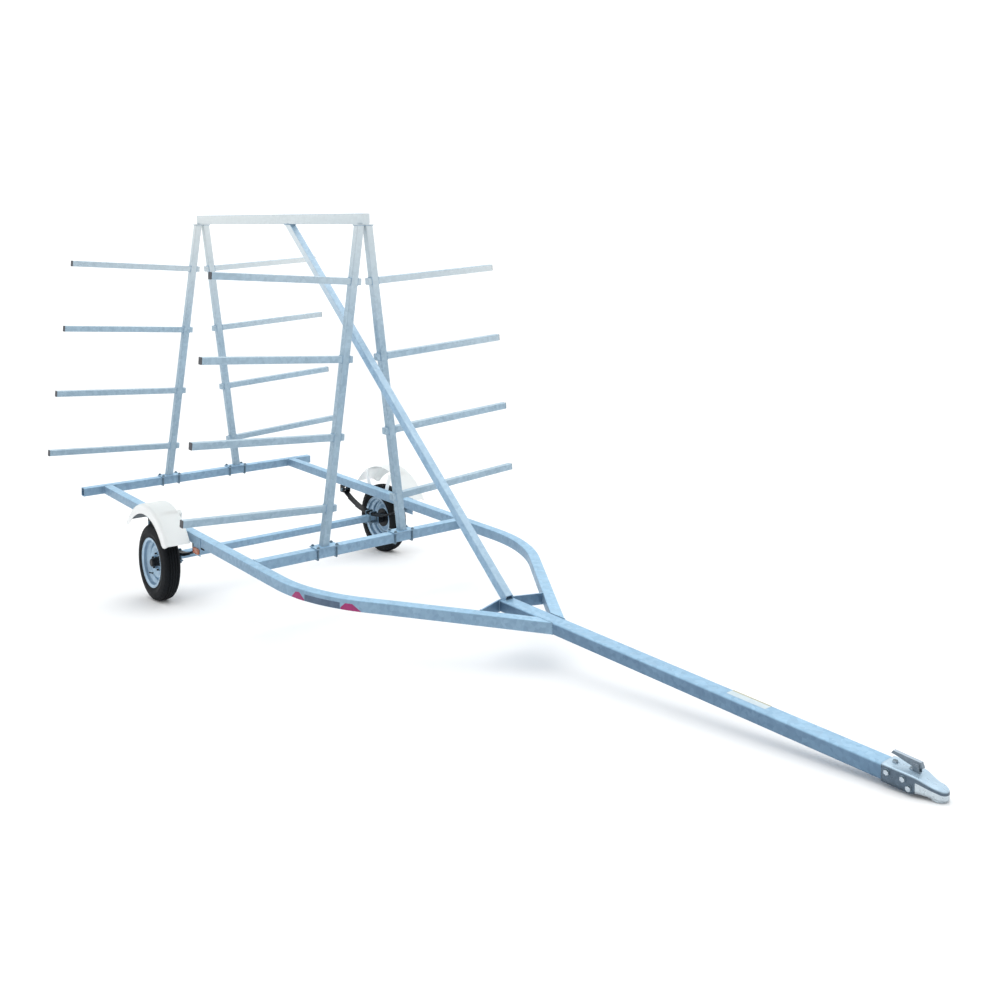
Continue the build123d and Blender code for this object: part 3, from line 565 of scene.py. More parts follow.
# %% [markdown]
# The steel wheel is one pressed sheet welded in another: a barrel with rolled flanges and
# a dished disc. Both are shapes of turning, so one rounded outline is swept round. The
# outline is smoothed first by cutting its corners, as a press tool's radii would.

# %% Wheels
def cut_corners(outline, rounds=2):
    """Rounds a line's corners and keeps its ends."""
    for _ in range(rounds):
        line = [outline[0]]
        for (a, b), (c, d) in zip(outline, outline[1:]):
            line.append((a * 0.75 + c * 0.25, b * 0.75 + d * 0.25))
            line.append((a * 0.25 + c * 0.75, b * 0.25 + d * 0.75))
        outline = line + [outline[-1]]
    return outline


def thicken(line, gauge):
    """A closed outline: the line and its copy, a gauge away to the side."""
    copy = []
    for i, (w, r) in enumerate(line):
        (a, b), (c, d) = line[max(i - 1, 0)], line[min(i + 1, len(line) - 1)]
        length = math.hypot(c - a, d - b)
        copy.append((w + (d - b) / length * gauge, r - (c - a) / length * gauge))
    return line + copy[::-1]


def sweep_round(outline, side, steps=128):
    """Points and faces of a closed outline turned about the axle."""
    points = []
    for step in range(steps):
        angle = 2 * math.pi * step / steps
        for w, r in outline:
            x, z = r * math.cos(angle), HUB_Z + r * math.sin(angle)
            points.append((x, side * (HALF_TRACK + w), z))
    return points, grid_faces(steps, len(outline), True, True)


def face_out(piece):
    """Turns a closed mesh's faces outwards."""
    work = bmesh.new()
    work.from_mesh(piece.data)
    bmesh.ops.remove_doubles(work, verts=work.verts, dist=1e-6)
    bmesh.ops.recalc_face_normals(work, faces=work.faces)
    work.to_mesh(piece.data)
    work.free()
    return piece


BARREL = [(-57, 168.5), (-54.5, 168.6), (-51.2, 165), (-50.8, 158), (-50.8, 152.6), (-46, 152.2)]
BARREL += [(-26, 152), (-17, 134), (-12, 131), (6, 131), (12, 134), (24, 152), (46, 152.2)]
BARREL += [(50.8, 152.6), (50.8, 158), (51.2, 165), (54.5, 168.6), (57, 168.5)]
DISC = [(0, 34), (0, 50), (0.4, 66), (3, 74), (9, 82), (16, 92), (19, 101), (17.5, 110)]
DISC += [(9, 119), (4.5, 123), (3, 128.2)]
for side, name in SIDES:
    for part, line, gauge in (("barrel", BARREL, 2.8), ("disc", DISC, -3)):
        points, faces = sweep_round(thicken(cut_corners(line), gauge), side)
        gone = ("rim_" + name,) if part == "barrel" else ()
        wheel = "wheel_" + name
        piece = add_piece(f"wheel_{part}_{name}", points, faces, wheel_paint, wheel, gone)
        print(face_out(piece).name, len(piece.data.polygons), "faces")

# %% [markdown]
# The fenders are moulded in thick white plastic: a broad arc over the tyre, rounded over
# into a skirt that comes down outside the wheel. The skirt's lower corners are round and
# its rim is rolled out a little, which keeps thin plastic from flapping. The section is
# measured as one line from the rail outwards and down. Near both ends that line is cut
# shorter along a quarter circle, which rounds the corners. Solidify gives the wall, and
# its new inner side has a slot of its own: on the near fender it takes a grey that paints
# the shade under the fender, and on the far one it stays white.

# %% Fenders
FENDER_X, FENDER_Z, FENDER_RADIUS = 41.0, 232.0, 440.0
FENDER_INNER, FENDER_OUTER, SKIRT, FENDER_BEND = 860.75, 1022.75, 62.0, 22.0
FENDER_FLAT, FENDER_TURN = FENDER_OUTER - FENDER_BEND - FENDER_INNER, FENDER_BEND * math.pi / 2
FENDER_FROM, FENDER_TO, FENDER_WALL = math.radians(33.0), math.radians(143.0), 0.003
CORNER, ROLL_OUT, ROLL_WIDE = 52.0, 3.5, 7.0


def fender_section(run):
    """The (across, drop) point at a run along the section, from the rail outwards."""
    if run <= FENDER_FLAT:
        return FENDER_INNER + run, 0.0
    if run <= FENDER_FLAT + FENDER_TURN:
        angle = (run - FENDER_FLAT) / FENDER_BEND
        out = FENDER_OUTER - FENDER_BEND * (1 - math.sin(angle))
        return out, FENDER_BEND * (1 - math.cos(angle))
    return FENDER_OUTER, FENDER_BEND + run - FENDER_FLAT - FENDER_TURN


def make_fender(side, name):
    """One fender shell with round lower corners and a rolled rim."""
    rows, columns, points = 89, 44, []
    whole = FENDER_FLAT + FENDER_TURN + SKIRT - FENDER_BEND
    span = FENDER_TO - FENDER_FROM
    for i in range(rows):
        share = 0.5 - 0.5 * math.cos(math.pi * i / (rows - 1))
        share = 0.35 * share + 0.65 * i / (rows - 1)
        angle = FENDER_FROM + span * share
        end_run = min(share, 1 - share) * span * FENDER_RADIUS
        short = CORNER * (1 - math.sqrt(max(0.0, 1 - (1 - min(end_run, CORNER) / CORNER) ** 2)))
        for j in range(columns):
            run = (whole - short) * j / (columns - 1)
            left = min(whole - short - run, end_run)
            y, drop = fender_section(run)
            roll = ROLL_OUT * max(0.0, 1 - left / ROLL_WIDE) ** 2
            tilt = min(1.0, drop / FENDER_BEND)
            r = FENDER_RADIUS - drop + roll * (1 - tilt)
            x, z = FENDER_X + r * math.cos(angle), FENDER_Z + r * math.sin(angle)
            points.append((x, side * (y + roll * tilt), z))
    faces = grid_faces(rows, columns)
    if side < 0:
        faces = [face[::-1] for face in faces]
    piece = add_piece(
        "fender_piece_" + name, points, faces, fender_plastic, "trailer",
        ("fender_" + name,),
    )
    wall = piece.modifiers.new("wall", "SOLIDIFY")
    wall.thickness, wall.offset = FENDER_WALL, -1
    # The near fender's inner side takes painted shade; the far one stays white.
    piece.data.materials.append(fender_painted_shade if side < 0 else fender_plastic)
    wall.material_offset = 1
    return piece


for side, name in SIDES:
    fender = make_fender(side, name)
    print(fender.name, len(fender.data.polygons), "faces")

# %% [markdown]
# The amber side marker is a moulded lens on a black base. From close by it shows a smooth
# crown and the fine upright ribs that spread its light. A grid over the lens' rounded
# outline takes its height from the crown, and the ribs are a small wave added to it.

# %% Side markers
LENS_X, LENS_Z, LENS_FACE = 460.0, 428.0, 836.75
LENS_LONG, LENS_TALL, LENS_DEEP = 92.0, 40.0, 16.0
LENS_RIM, LENS_DOME, LENS_SPARE, RIB_PITCH, RIB_RISE = 0.42, 0.58, 0.35, 4.6, 0.3


def make_lens(side, name):
    """A crowned lens with upright ribs."""
    rings, turns, points = 12, 96, []
    for ring in range(rings):
        out = ring / (rings - 1)
        for turn in range(turns):
            angle = 2 * math.pi * turn / turns
            cos, sin = math.cos(angle), math.sin(angle)
            reach = (abs(cos) ** 4 + abs(sin) ** 4) ** -0.25
            x, z = LENS_LONG / 2 * cos * reach * out, LENS_TALL / 2 * sin * reach * out
            crown = LENS_DEEP * (LENS_RIM + LENS_DOME * (1 - out ** 4) ** 0.5) - LENS_SPARE
            rib = RIB_RISE * math.cos(2 * math.pi * x / RIB_PITCH) * (1 - out ** 6)
            points.append((LENS_X + x, side * (LENS_FACE + crown + rib), LENS_Z + z))
    for turn in range(turns):
        x, _, z = points[(rings - 1) * turns + turn]
        points.append((x, side * LENS_FACE, z))
    faces = grid_faces(rings + 1, turns, False, True)
    faces.append(tuple(range(rings * turns, (rings + 1) * turns)))
    return face_out(add_piece(
        "marker_lens_" + name, points, faces, amber_lens, "trailer",
        ("side_marker_" + name,),
    ))


for side, name in SIDES:
    print(make_lens(side, name).name)

# %% [markdown]
# A tubeless wheel has a rubber valve stem through its well, with a brass core under a
# black cap. It is a shape of turning too, on a slanted line between well and disc.

# %% Valve stems
STEM = [(0, 5.6), (2, 5.6), (3, 4.4), (14, 3.6), (22, 3.2), (22.5, 4.0), (33, 3.8), (34, 3.0)]
STEM.append((34, 0.01))
STEM_AROUND = math.radians(140)


def make_stem(side, name):
    """A valve stem that leans out of the wheel's well."""
    points, turns = [], 20
    foot = Vector((0, HALF_TRACK + 13, 133))
    way = Vector((0, 0.86, -0.51)).normalized()
    up = Vector((1, 0, 0))
    across = way.cross(up)
    for along, radius in STEM:
        for turn in range(turns):
            angle = 2 * math.pi * turn / turns
            p = foot + way * along + (up * math.cos(angle) + across * math.sin(angle)) * radius
            x = p.x * math.cos(STEM_AROUND) - p.z * math.sin(STEM_AROUND)
            z = p.x * math.sin(STEM_AROUND) + p.z * math.cos(STEM_AROUND)
            points.append((x, side * p.y, HUB_Z + z))
    faces = grid_faces(len(STEM), turns, False, True)
    faces.append(tuple(range(turns)))
    stem = add_piece("valve_stem_" + name, points, faces, black_paint, "wheel_" + name)
    return face_out(stem)


for side, name in SIDES:
    print(make_stem(side, name).name)

# %% [markdown]
# The coupler is pressed from one sheet: a channel that hugs the tongue, then a nose that
# narrows, slopes down and closes round the ball socket. Its edges are rounded by the
# press. One outline on the floor plan runs from the rear round the nose. At each place on
# it a short wall rises, rolls over inwards and meets its mirror twin over the top, and
# Solidify gives the sheet its gauge. The cup for the ball is a turned piece of its own.

# %% Coupler shell
COUPLER_REAR, SLOPE_X, BALL_X, NOSE_TIP = 4940.0, 5072.0, 5146.0, 5184.0
COUPLER_HALF, NOSE_HALF = 49.25, 34.0
SHELL_TOP, SHELL_LOW, SHELL_ROUND, SHELL_RISE, SHELL_GAUGE = 526.8, 458.5, 7.0, 1.6, 0.0045
PLAN_STEPS, NOSE_STEPS, ROUND_STEPS = 30, 12, 5


def follow(x, stops):
    """A height or width that goes smoothly from stop to stop along x."""
    for (a, b), (c, d) in zip(stops, stops[1:]):
        if x <= c:
            share = max(0.0, (x - a) / (c - a))
            return b + (d - b) * share * share * (3 - 2 * share)
    return stops[-1][1]


TOP_LINE = [(SLOPE_X - 14, SHELL_TOP), (BALL_X, 508.0), (NOSE_TIP, 500.5)]
LOW_LINE = [(SLOPE_X - 22, SHELL_LOW), (SLOPE_X + 22, 468.0), (NOSE_TIP, 466.0)]
PLAN_LINE = [(SLOPE_X - 14, COUPLER_HALF), (BALL_X, NOSE_HALF)]


def coupler_plan():
    """The (x, half width, normal) places along one side of the plan, rear to tip."""
    line = [COUPLER_REAR + (BALL_X - COUPLER_REAR) * i / PLAN_STEPS for i in range(PLAN_STEPS + 1)]
    line = [(x, follow(x, PLAN_LINE)) for x in line]
    for i in range(1, NOSE_STEPS + 1):
        angle = math.pi / 2 * i / NOSE_STEPS
        x, y = BALL_X + (NOSE_TIP - BALL_X) * math.sin(angle), NOSE_HALF * math.cos(angle)
        line.append((x, max(0.02, y)))
    places = []
    for i, (x, y) in enumerate(line):
        (a, b), (c, d) = line[max(i - 1, 0)], line[min(i + 1, len(line) - 1)]
        normal = Vector((b - d, c - a)).normalized() if i < len(line) - 1 else Vector((1, 0))
        places.append((x, y, normal))
    return places


def make_coupler_shell():
    """The pressed shell, with the nose's lower walls in a paler finish that paints the glare of light on them."""
    points = []
    for x, half, normal in coupler_plan():
        low, top, wall = follow(x, LOW_LINE), follow(x, TOP_LINE), []
        for share in (0.0, 0.25, 0.5, 0.75, 1.0):
            wall.append((x, half, low + (top - SHELL_ROUND - low) * share))
        for step in range(1, ROUND_STEPS + 1):
            angle = math.pi / 2 * step / ROUND_STEPS
            shift = SHELL_ROUND * (1 - math.cos(angle))
            a, b = x - shift * normal.x, max(0.0, half - shift * normal.y)
            wall.append((a, b, follow(a, TOP_LINE) - SHELL_ROUND * (1 - math.sin(angle))))
        a, b, z = wall[-1]
        rise = SHELL_RISE * min(1.0, b / 20)
        roof = [(a, b * s, z + rise * (1 - s * s)) for s in (0.85, 0.65, 0.4, 0.2, 0.0)]
        row = wall + roof
        points += row + [(x, -y, z) for x, y, z in reversed(row[:-1])]
        columns = 2 * len(row) - 1
    rows = len(points) // columns
    faces = grid_faces(rows, columns)
    piece = add_piece("coupler_shell", points, faces, zinc_coupler_painted_shade, "trailer", ("coupler",))
    face_out(piece)
    if sum(face.normal.z * face.area for face in piece.data.polygons) < 0:
        piece.data.flip_normals()
    # The nose's lower walls take the pale finish: a painted highlight.
    piece.data.materials.append(zinc_painted_glare)
    to_level = parked.inverted()
    for face in piece.data.polygons:
        middle = to_level @ face.center
        if middle.x > SLOPE_X + 4 and middle.z < follow(middle.x, TOP_LINE) - 15:
            face.material_index = 1
    wall = piece.modifiers.new("gauge", "SOLIDIFY")
    wall.thickness, wall.offset = SHELL_GAUGE, -1
    return piece


def make_socket():
    """The turned cup that sits on the ball."""
    outer, inner, low, seat, arc = 30.5, 25.9, 458.0, 476.0, (0.3, 0.6, 0.9, 1.2)
    outline = [(inner, low), (outer - 1.2, low), (outer, low + 1.2), (outer, seat)]
    outline += [(outer * math.cos(a), seat + outer * math.sin(a)) for a in arc]
    outline += [(0.01, seat + outer - 1), (0.01, seat + inner)]
    outline += [(inner * math.cos(a), seat + inner * math.sin(a)) for a in reversed(arc)]
    outline.append((inner, seat))
    turns, points = 64, []
    for turn in range(turns):
        angle = 2 * math.pi * turn / turns
        points += [(BALL_X + r * math.cos(angle), r * math.sin(angle), z) for r, z in outline]
    faces = grid_faces(turns, len(outline), True, True)
    return face_out(add_piece("coupler_socket", points, faces, zinc_painted_glare, "trailer"))


print(make_coupler_shell().name, make_socket().name)

# %% [markdown]
# On the near rail's bend sit two magenta fins with a plain dark blue strip between them,
# and on the tongue lies one pale label with a straw-coloured edge. They are thin films,
# left blank here. Each is cut from an outline on the flat and bent with the rail, so it
# stays a hair's breadth off the steel all along.

# %% Films on the rail and the tongue
BEND_X0, BEND_Y0, BEND_FACE = 1549.7, 299.0, 1131.75


def bend_film(name, outline, finish, lift=0.3):
    """A film on the near rail's bend; outline gives (degrees, low z, high z)."""
    points = []
    for degrees, low, high in outline:
        angle = math.radians(degrees)
        for reach in (BEND_FACE + lift, BEND_FACE + 0.02):
            x, y = BEND_X0 + reach * math.sin(angle), BEND_Y0 - reach * math.cos(angle)
            points += [(x, y, low), (x, y, high)]
    faces, last = [], len(outline) - 1
    for i in range(last):
        a, b = 4 * i, 4 * (i + 1)
        faces += [(a, a + 1, b + 1, b), (a + 2, b + 2, b + 3, a + 3)]
        faces += [(a, b, b + 2, a + 2), (a + 1, a + 3, b + 3, b + 1)]
    faces += [(0, 2, 3, 1), (4 * last, 4 * last + 1, 4 * last + 3, 4 * last + 2)]
    return face_out(add_piece(name, points, faces, finish, "trailer", smooth=False))


def even_outline(corners, steps):
    """Fills in an outline so that it can follow the bend."""
    line = []
    for start, end in zip(corners, corners[1:]):
        for i in range(steps):
            line.append(tuple(a + (b - a) * i / steps for a, b in zip(start, end)))
    return line + [corners[-1]]


FIN_REAR = [(8.9, 463, 466), (10.6, 461, 499), (12.2, 460.5, 502), (14.3, 460.5, 468)]
FIN_FRONT = [(27.3, 461, 472), (28.8, 460.5, 498), (31.0, 460.5, 499), (33.7, 460.5, 463)]
RAIL_STRIP = [(14.4, 462, 499), (27.1, 462, 498)]
print(bend_film("fin_rear", even_outline(FIN_REAR, 5), fin_tape).name)
print(bend_film("fin_front", even_outline(FIN_FRONT, 6), fin_tape).name)
print(bend_film("rail_strip", even_outline(RAIL_STRIP, 18), blue_tape).name)


def flat_film(name, x, y, z, finish):
    """A thin flat film on the tongue's top, its corners a little rounded."""
    corners, turn = [], 6
    high_x, low_x, high_y, low_y = x[1] - turn, x[0] + turn, y[1] - turn, y[0] + turn
    centres = ((high_x, high_y, 0), (low_x, high_y, 90), (low_x, low_y, 180), (high_x, low_y, 270))
    for cx, cy, start in centres:
        for step in range(5):
            angle = math.radians(start + 22.5 * step)
            corners.append((cx + turn * math.cos(angle), cy + turn * math.sin(angle)))
    count = len(corners)
    points = [(a, b, z[1]) for a, b in corners] + [(a, b, z[0]) for a, b in corners]
    faces = [tuple(range(count)), tuple(range(2 * count - 1, count - 1, -1))]
    faces += [(i, (i + 1) % count, count + (i + 1) % count, count + i) for i in range(count)]
    return face_out(add_piece(name, points, faces, finish, "trailer", smooth=False))


LABEL_X = (4165, 4372)
print(flat_film("tongue_label", LABEL_X, (-8, 33), (522.02, 522.35), white_label).name)
print(flat_film("tongue_label_edge", LABEL_X, (30, 40), (522.02, 522.5), label_edge).name)

# %% [markdown]
# Wherever two tubes meet, the real trailer has a weld: a row of small overlapping puddles.
# Drawing each would be slow work, so Geometry Nodes do it. The seam's line goes in, points
# are set along it at one spacing, a small flattened ball is put on each with a little
# random size and turn, and the balls are made real and given the finish.

# %% Geometry Nodes for welds
def start_tree(name, into, out, **numbers):
    """A node tree with geometry in and out, some numbers and a finish, and its two ends."""
    tree = bpy.data.node_groups.new(name, "GeometryNodeTree")
    tree.interface.new_socket(into, in_out="INPUT", socket_type="NodeSocketGeometry")
    for key, value in numbers.items():
        socket = tree.interface.new_socket(key, in_out="INPUT", socket_type="NodeSocketFloat")
        socket.default_value = value
    tree.interface.new_socket("Finish", in_out="INPUT", socket_type="NodeSocketMaterial")
    tree.interface.new_socket(out, in_out="OUTPUT", socket_type="NodeSocketGeometry")
    return tree, tree.nodes.new("NodeGroupInput"), tree.nodes.new("NodeGroupOutput")


def make_weld_tree():
    """Turns edges into a row of weld puddles."""
    tree, source, result = start_tree("weld_row", "Seams", "Welds", Spacing=0.0045, Bead=0.0034)
    add, link = tree.nodes.new, tree.links.new
    to_curve = add("GeometryNodeMeshToCurve")
    spread = add("GeometryNodeResampleCurve")
    spread.mode = "LENGTH"
    ball = add("GeometryNodeMeshIcoSphere")
    ball.inputs["Subdivisions"].default_value = 2
    place = add("GeometryNodeInstanceOnPoints")
    size = add("FunctionNodeRandomValue")
    size.data_type = "FLOAT_VECTOR"
    size.inputs[0].default_value = (0.8, 0.8, 0.55)
    size.inputs[1].default_value = (1.2, 1.15, 0.85)
    size.inputs["Seed"].default_value = 7
    spin = add("FunctionNodeRandomValue")
    spin.data_type = "FLOAT_VECTOR"
    spin.inputs[1].default_value = (6.28, 6.28, 6.28)
    spin.inputs["Seed"].default_value = 11
    real = add("GeometryNodeRealizeInstances")
    shade = add("GeometryNodeSetShadeSmooth")
    paint = add("GeometryNodeSetMaterial")
    link(source.outputs["Seams"], to_curve.inputs["Mesh"])
    link(to_curve.outputs["Curve"], spread.inputs["Curve"])
    link(source.outputs["Spacing"], spread.inputs["Length"])
    link(source.outputs["Bead"], ball.inputs["Radius"])
    link(spread.outputs["Curve"], place.inputs["Points"])
    link(ball.outputs["Mesh"], place.inputs["Instance"])
    link(size.outputs[0], place.inputs["Scale"])
    link(spin.outputs[0], place.inputs["Rotation"])
    link(place.outputs["Instances"], real.inputs["Geometry"])
    link(real.outputs["Geometry"], shade.inputs["Geometry"])
    link(shade.outputs["Geometry"], paint.inputs["Geometry"])
    link(source.outputs["Finish"], paint.inputs["Material"])
    link(paint.outputs["Geometry"], result.inputs["Welds"])
    return tree


def set_input(modifier, name, value):
    """Sets a modifier's named input by its socket's identifier."""
    for item in modifier.node_group.interface.items_tree:
        if item.name == name and item.in_out == "INPUT":
            modifier[item.identifier] = value


def grow(name, points, edges, tree, finish, body, slot, ways=(), **inputs):
    """Runs a node tree on a line drawing and keeps the result as a plain mesh piece."""
    drawing = bpy.data.meshes.new(name + "_lines")
    drawing.from_pydata([tuple(p) for p in points], edges, [])
    drawing.transform(parked)
    if ways:
        way = drawing.attributes.new("way", "FLOAT_VECTOR", "POINT")
        for spot, direction in zip(way.data, ways):
            spot.vector = (parked.to_3x3() @ Vector(direction)).normalized()
    holder = new_object(name + "_lines", drawing)
    modifier = holder.modifiers.new("grow", "NODES")
    modifier.node_group = tree
    for key, value in inputs.items():
        set_input(modifier, key, value)
    set_input(modifier, "Finish", finish)
    bpy.context.view_layer.update()
    evaluated = holder.evaluated_get(bpy.context.evaluated_depsgraph_get())
    grown = bpy.data.meshes.new_from_object(evaluated)
    bpy.data.objects.remove(holder)
    grown.name = name
    piece = new_object(name, grown)
    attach(piece, body)
    return piece


weld_tree = make_weld_tree()
print("weld tree nodes:", len(weld_tree.nodes))

# %% [markdown]
# The seams follow the tubes' sizes. A ring goes round each arm where it leaves its post,
# round each post where it stands on its foot and meets the top, and round the brace's
# upper end.

# %% Seams of the rack
DECK_Z, RAIL, RAIL_Y, LOW_Z = 522.0, 63.5, 801.0, 458.5
POST, ARM, FOOT_Y, APEX_Y, APEX_Z, FOOT_TOP = 50.8, 44.45, 296.0, 32.0, 2561.0, 528.5
LEVELS = (763.0, 1209.5, 1703.5, 2200.0)
FRAMES = (-1338.0, 1173.0)
RISE = math.radians(3.75)
LEAN = (FOOT_Y - APEX_Y) / (APEX_Z - DECK_Z)
BRACE_TOP, BRACE_HALF, BRACE_SLANT = (184.3, 0, 2567.0), 25.4, 39.8


def post_y(z):
    """The post's distance from the middle at a height."""
    return APEX_Y + (APEX_Z - z) * LEAN


seam_points, seam_edges = [], []


def add_seam(line, closed=False):
    """Adds one seam to the drawing."""
    start = len(seam_points)
    seam_points.extend(line)
    count = len(line)
    seam_edges.extend((start + i, start + i + 1) for i in range(count - 1))
    if closed:
        seam_edges.append((start + count - 1, start))


def square(x, y, z, half_x, half_y):
    """A flat square ring's corners."""
    return [(x + a * half_x, y + b * half_y, z) for a, b in SQUARE]


for x in FRAMES:
    for side in (-1, 1):
        for z in LEVELS:
            for face in (-1, 1):
                ring = []
                for a, b in SQUARE:
                    away = face * POST / 2 / math.cos(math.atan(LEAN))
                    height = z + away * math.tan(RISE) + b * ARM / 2 / math.cos(RISE)
                    ring.append((x + a * ARM / 2, side * (post_y(height) + away), height))
                add_seam(ring, True)
        add_seam(square(x, side * post_y(FOOT_TOP), FOOT_TOP, POST / 2, POST / 2), True)
        add_seam(square(x, side * post_y(APEX_Z), APEX_Z, POST / 2, POST / 2), True)
add_seam(square(*BRACE_TOP, BRACE_SLANT, BRACE_HALF), True)
print("rack seams:", len(seam_edges), "edges")

# %% [markdown]
# The frame's seams lie where the crossbars, the bent rails, the tongue and the brace
# meet. A bent rail meets the tongue at a slant, so the corners of that seam are worked
# out from the rail's bend. The flat crossmember leans forward and stops at the rail, and
# a short search along it finds the place.

# %% Seams of the frame
TONGUE_HALF, TONGUE_REAR, BEND_TURN, BEND_AT = 44.45, 2632.0, math.radians(34), 1886.0
CROSS_LEAN, CROSS_ARM, CROSS_GAUGE, SEARCH_STEP = math.radians(20), 408.0, 9.5, 0.5
BRACE_END = 2665.0


def rail_meets(offset, y):
    """Where a line along the bent rail, offset outwards from its middle, reaches a y."""
    x0, y0 = BEND_AT + offset * math.sin(BEND_TURN), RAIL_Y + offset * math.cos(BEND_TURN)
    return x0 + (y0 - y) / math.tan(BEND_TURN)


def cross_at(y):
    """Where the crossmember's rear face is at a distance from the middle."""
    return TONGUE_REAR + (y - TONGUE_HALF) * math.tan(CROSS_LEAN)


for side in (-1, 1):
    inner, outer = side * (RAIL_Y - RAIL / 2), side * (RAIL_Y + RAIL / 2)
    back, low = FRAMES[0] + RAIL / 2, LOW_Z + 5
    add_seam([(back, inner, low), (back, inner, DECK_Z), (back, outer, DECK_Z), (back, outer, low)])
    for x in (FRAMES[1] - RAIL / 2, FRAMES[1] + RAIL / 2):
        add_seam([(x, inner, low), (x, inner, DECK_Z)])
    add_seam([(FRAMES[1] - RAIL / 2, inner, DECK_Z), (FRAMES[1] + RAIL / 2, inner, DECK_Z)])
    edge, low = side * TONGUE_HALF, LOW_Z + 3
    near, far = rail_meets(-RAIL / 2, TONGUE_HALF), rail_meets(RAIL / 2, TONGUE_HALF)
    add_seam([(near, edge, low), (near, edge, DECK_Z), (far, edge, DECK_Z), (far, edge, low)])
    end_y = TONGUE_HALF + CROSS_ARM * math.cos(CROSS_LEAN)
    while cross_at(end_y) < rail_meets(-RAIL / 2, end_y):
        end_y += SEARCH_STEP
    while cross_at(end_y) > rail_meets(-RAIL / 2, end_y):
        end_y -= SEARCH_STEP
    cross_x, y = cross_at(end_y), side * end_y
    add_seam([(cross_x, y, LOW_Z + 2), (cross_x, y, DECK_Z), (cross_x - CROSS_GAUGE, y, DECK_Z)])
    add_seam([(TONGUE_REAR, edge, LOW_Z), (TONGUE_REAR, edge, DECK_Z)])
    add_seam([(TONGUE_REAR, side * BRACE_HALF, DECK_Z), (BRACE_END, side * BRACE_HALF, DECK_Z)])
    print("crossmember ends at", round(cross_x), round(side * end_y))
add_seam([(BRACE_END, -BRACE_HALF, DECK_Z), (BRACE_END, BRACE_HALF, DECK_Z)])
add_seam([(TONGUE_REAR, -TONGUE_HALF, DECK_Z), (TONGUE_REAR, TONGUE_HALF, DECK_Z)])
welds = grow(
    "weld_seams", seam_points, seam_edges, weld_tree, zinc_frame, "trailer", "galvanised",
    Spacing=0.0045, Bead=0.0034,
)
print(welds.name, len(welds.data.polygons), "faces")

# %% [markdown]
# Under every nut lies a washer, and Geometry Nodes can set them all from a list of spots.
# One washer is a short ring made by sweeping a small square round a circle. Each spot
# carries the way that its bolt points, as an attribute, and the tree turns the washer to
# it. The result is again made real and given its finish.

# %% Geometry Nodes for washers
def make_washer_tree():
    """Sets a washer on each point, turned to the point's own way."""
    tree, source, result = start_tree("washers", "Spots", "Washers", Radius=0.0104, Section=0.0024)
    add, link = tree.nodes.new, tree.links.new
    ring = add("GeometryNodeCurvePrimitiveCircle")
    section = add("GeometryNodeCurvePrimitiveQuadrilateral")
    ring.inputs["Resolution"].default_value = 24
    sweep, place = add("GeometryNodeCurveToMesh"), add("GeometryNodeInstanceOnPoints")
    way, turn = add("GeometryNodeInputNamedAttribute"), add("FunctionNodeAlignEulerToVector")
    way.data_type = "FLOAT_VECTOR"
    way.inputs["Name"].default_value = "way"
    turn.axis = "Z"
    real, paint = add("GeometryNodeRealizeInstances"), add("GeometryNodeSetMaterial")
    link(source.outputs["Radius"], ring.inputs["Radius"])
    link(source.outputs["Section"], section.inputs["Width"])
    link(source.outputs["Section"], section.inputs["Height"])
    link(ring.outputs["Curve"], sweep.inputs["Curve"])
    link(section.outputs["Curve"], sweep.inputs["Profile Curve"])
    link(source.outputs["Spots"], place.inputs["Points"])
    link(sweep.outputs["Mesh"], place.inputs["Instance"])
    link(way.outputs["Attribute"], turn.inputs["Vector"])
    link(turn.outputs["Rotation"], place.inputs["Rotation"])
    link(place.outputs["Instances"], real.inputs["Geometry"])
    link(real.outputs["Geometry"], paint.inputs["Geometry"])
    link(source.outputs["Finish"], paint.inputs["Material"])
    link(paint.outputs["Geometry"], result.inputs["Washers"])
    return tree


washer_tree = make_washer_tree()
BOLT_X, BOLT_Y, FOOT_MIDDLE, FOOT_LIFT, SHELL_LIFT = 36.75, 67.0, 290.0, 1.2, 5.8
TOP_BOLTS, SIDE_BOLTS = (4970.0, 5041.0), ((4964.0, 20.0), (5030.0, 20.0), (5054.0, 46.0))
foot_spots = [
    ((x + i * BOLT_X, side * FOOT_MIDDLE + j * BOLT_Y, FOOT_TOP + FOOT_LIFT), (0, 0, 1))
    for x in FRAMES for side in (-1, 1) for i in (-1, 1) for j in (-1, 1)
]
coupler_spots = [((x, 0.0, DECK_Z + SHELL_LIFT), (0, 0, 1)) for x in TOP_BOLTS]
coupler_spots += [
    ((x, side * (TONGUE_HALF + SHELL_LIFT), DECK_Z - drop), (0, side, 0))
    for x, drop in SIDE_BOLTS for side in (-1, 1)
]
for name, spots, radius in (
    ("foot_washers", foot_spots, 0.0104), ("coupler_washers", coupler_spots, 0.0118)
):
    places, ways = zip(*spots)
    washers = grow(
        name, places, [], washer_tree, zinc_bolts_painted_shade, "trailer", "zinc", ways,
        Radius=radius, Section=0.0024,
    )
    print(washers.name, len(washers.data.polygons), "faces")

# %% [markdown]
# The picture is of an object on white. A wide pale floor and a soft light from above do
# that without drawing the eye. The floor is a plain matt surface, a big square lamp hangs
# overhead, and the sky is white to the horizon, so that floor and sky meet without a line.
# Behind the camera the sky's light is weaker, so that the sides facing us stay a shade
# deeper than the tops, but to the eye it is the same white all round.

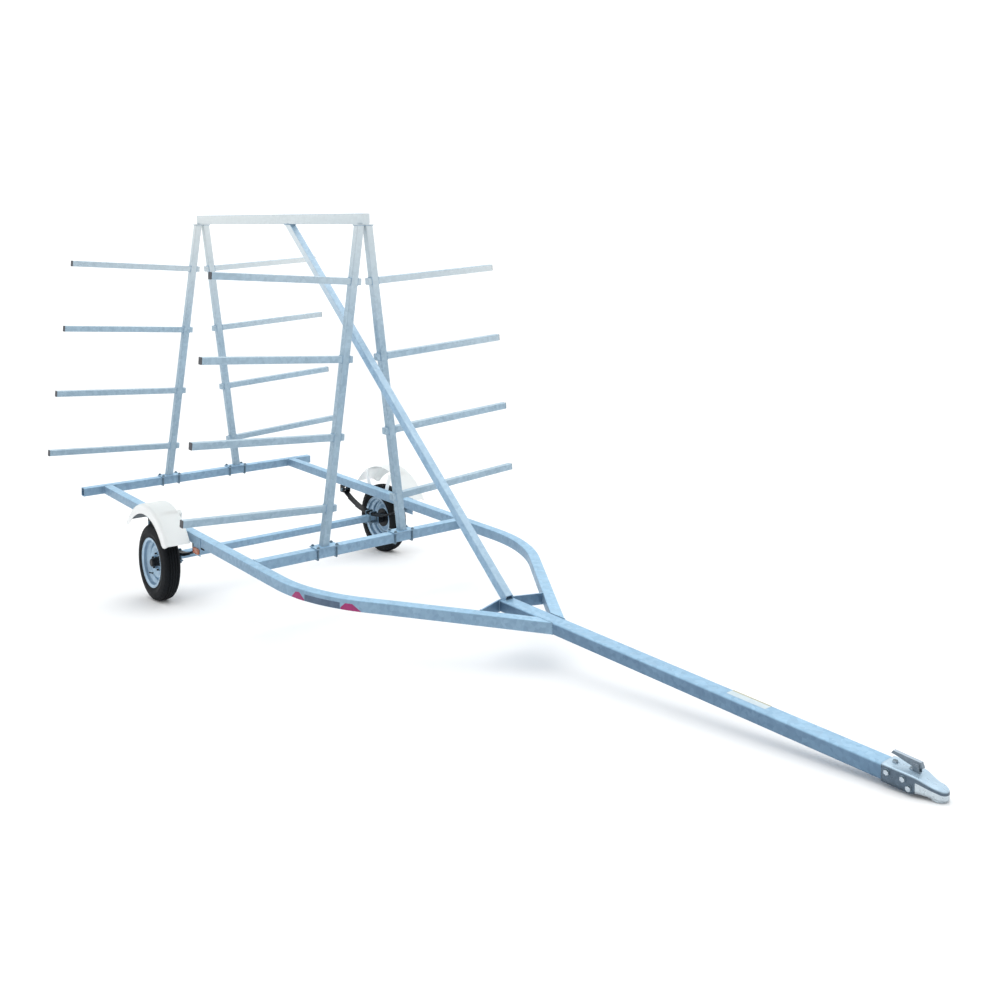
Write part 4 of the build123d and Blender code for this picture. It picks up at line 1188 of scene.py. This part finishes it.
# %% Floor and light
SKY, DIM_SKY, FLOOR_HALF = 1.21, 0.5, 150
floor_mesh = bpy.data.meshes.new("floor")
corners = [(a * FLOOR_HALF, b * FLOOR_HALF, 0) for a, b in SQUARE]
floor_mesh.from_pydata(corners, [], [(0, 1, 2, 3)])
floor = new_object("floor", floor_mesh)
floor_paint, _ = new_material(
    "floor_paint", Base_Color=(0.97, 0.97, 0.97, 1), Roughness=0.95, Specular_IOR_Level=0.0
)
floor_mesh.materials.append(floor_paint)


def add_lamp(name, place, aim, size, power):
    """A large square lamp aimed at a point."""
    data = bpy.data.lights.new(name, "AREA")
    data.energy, data.size = power, size
    lamp = new_object(name, data)
    lamp.location = place
    lamp.rotation_euler = (Vector(aim) - Vector(place)).to_track_quat("-Z", "Y").to_euler()
    return lamp


add_lamp("overhead", (-1, 2, 10), (0, 0, 0.5), 12, 300)
world = bpy.data.worlds.new("studio")
bpy.context.scene.world = world
world.use_nodes = True
nodes, links = world.node_tree.nodes, world.node_tree.links
way = nodes.new("ShaderNodeTexCoord")
dot = nodes.new("ShaderNodeVectorMath")
dot.operation = "DOT_PRODUCT"
dot.inputs[1].default_value = (math.cos(YAW), math.sin(YAW), 0.55)
span = nodes.new("ShaderNodeMapRange")
span.inputs["From Min"].default_value, span.inputs["From Max"].default_value = -0.9, 0.1
span.inputs["To Min"].default_value, span.inputs["To Max"].default_value = DIM_SKY, SKY
seen = nodes.new("ShaderNodeLightPath")
pick = nodes.new("ShaderNodeMix")
pick.inputs["B"].default_value = SKY
links.new(way.outputs["Generated"], dot.inputs[0])
links.new(dot.outputs["Value"], span.inputs["Value"])
back = nodes["Background"]
back.inputs["Color"].default_value = (0.985, 0.995, 1.0, 1)
links.new(seen.outputs["Is Camera Ray"], pick.inputs["Factor"])
links.new(span.outputs["Result"], pick.inputs["A"])
links.new(pick.outputs["Result"], back.inputs["Strength"])
bpy.context.scene.view_settings.view_transform = "Standard"
bpy.context.scene.view_settings.look = "None"
print("lamps:", len(bpy.data.lights))
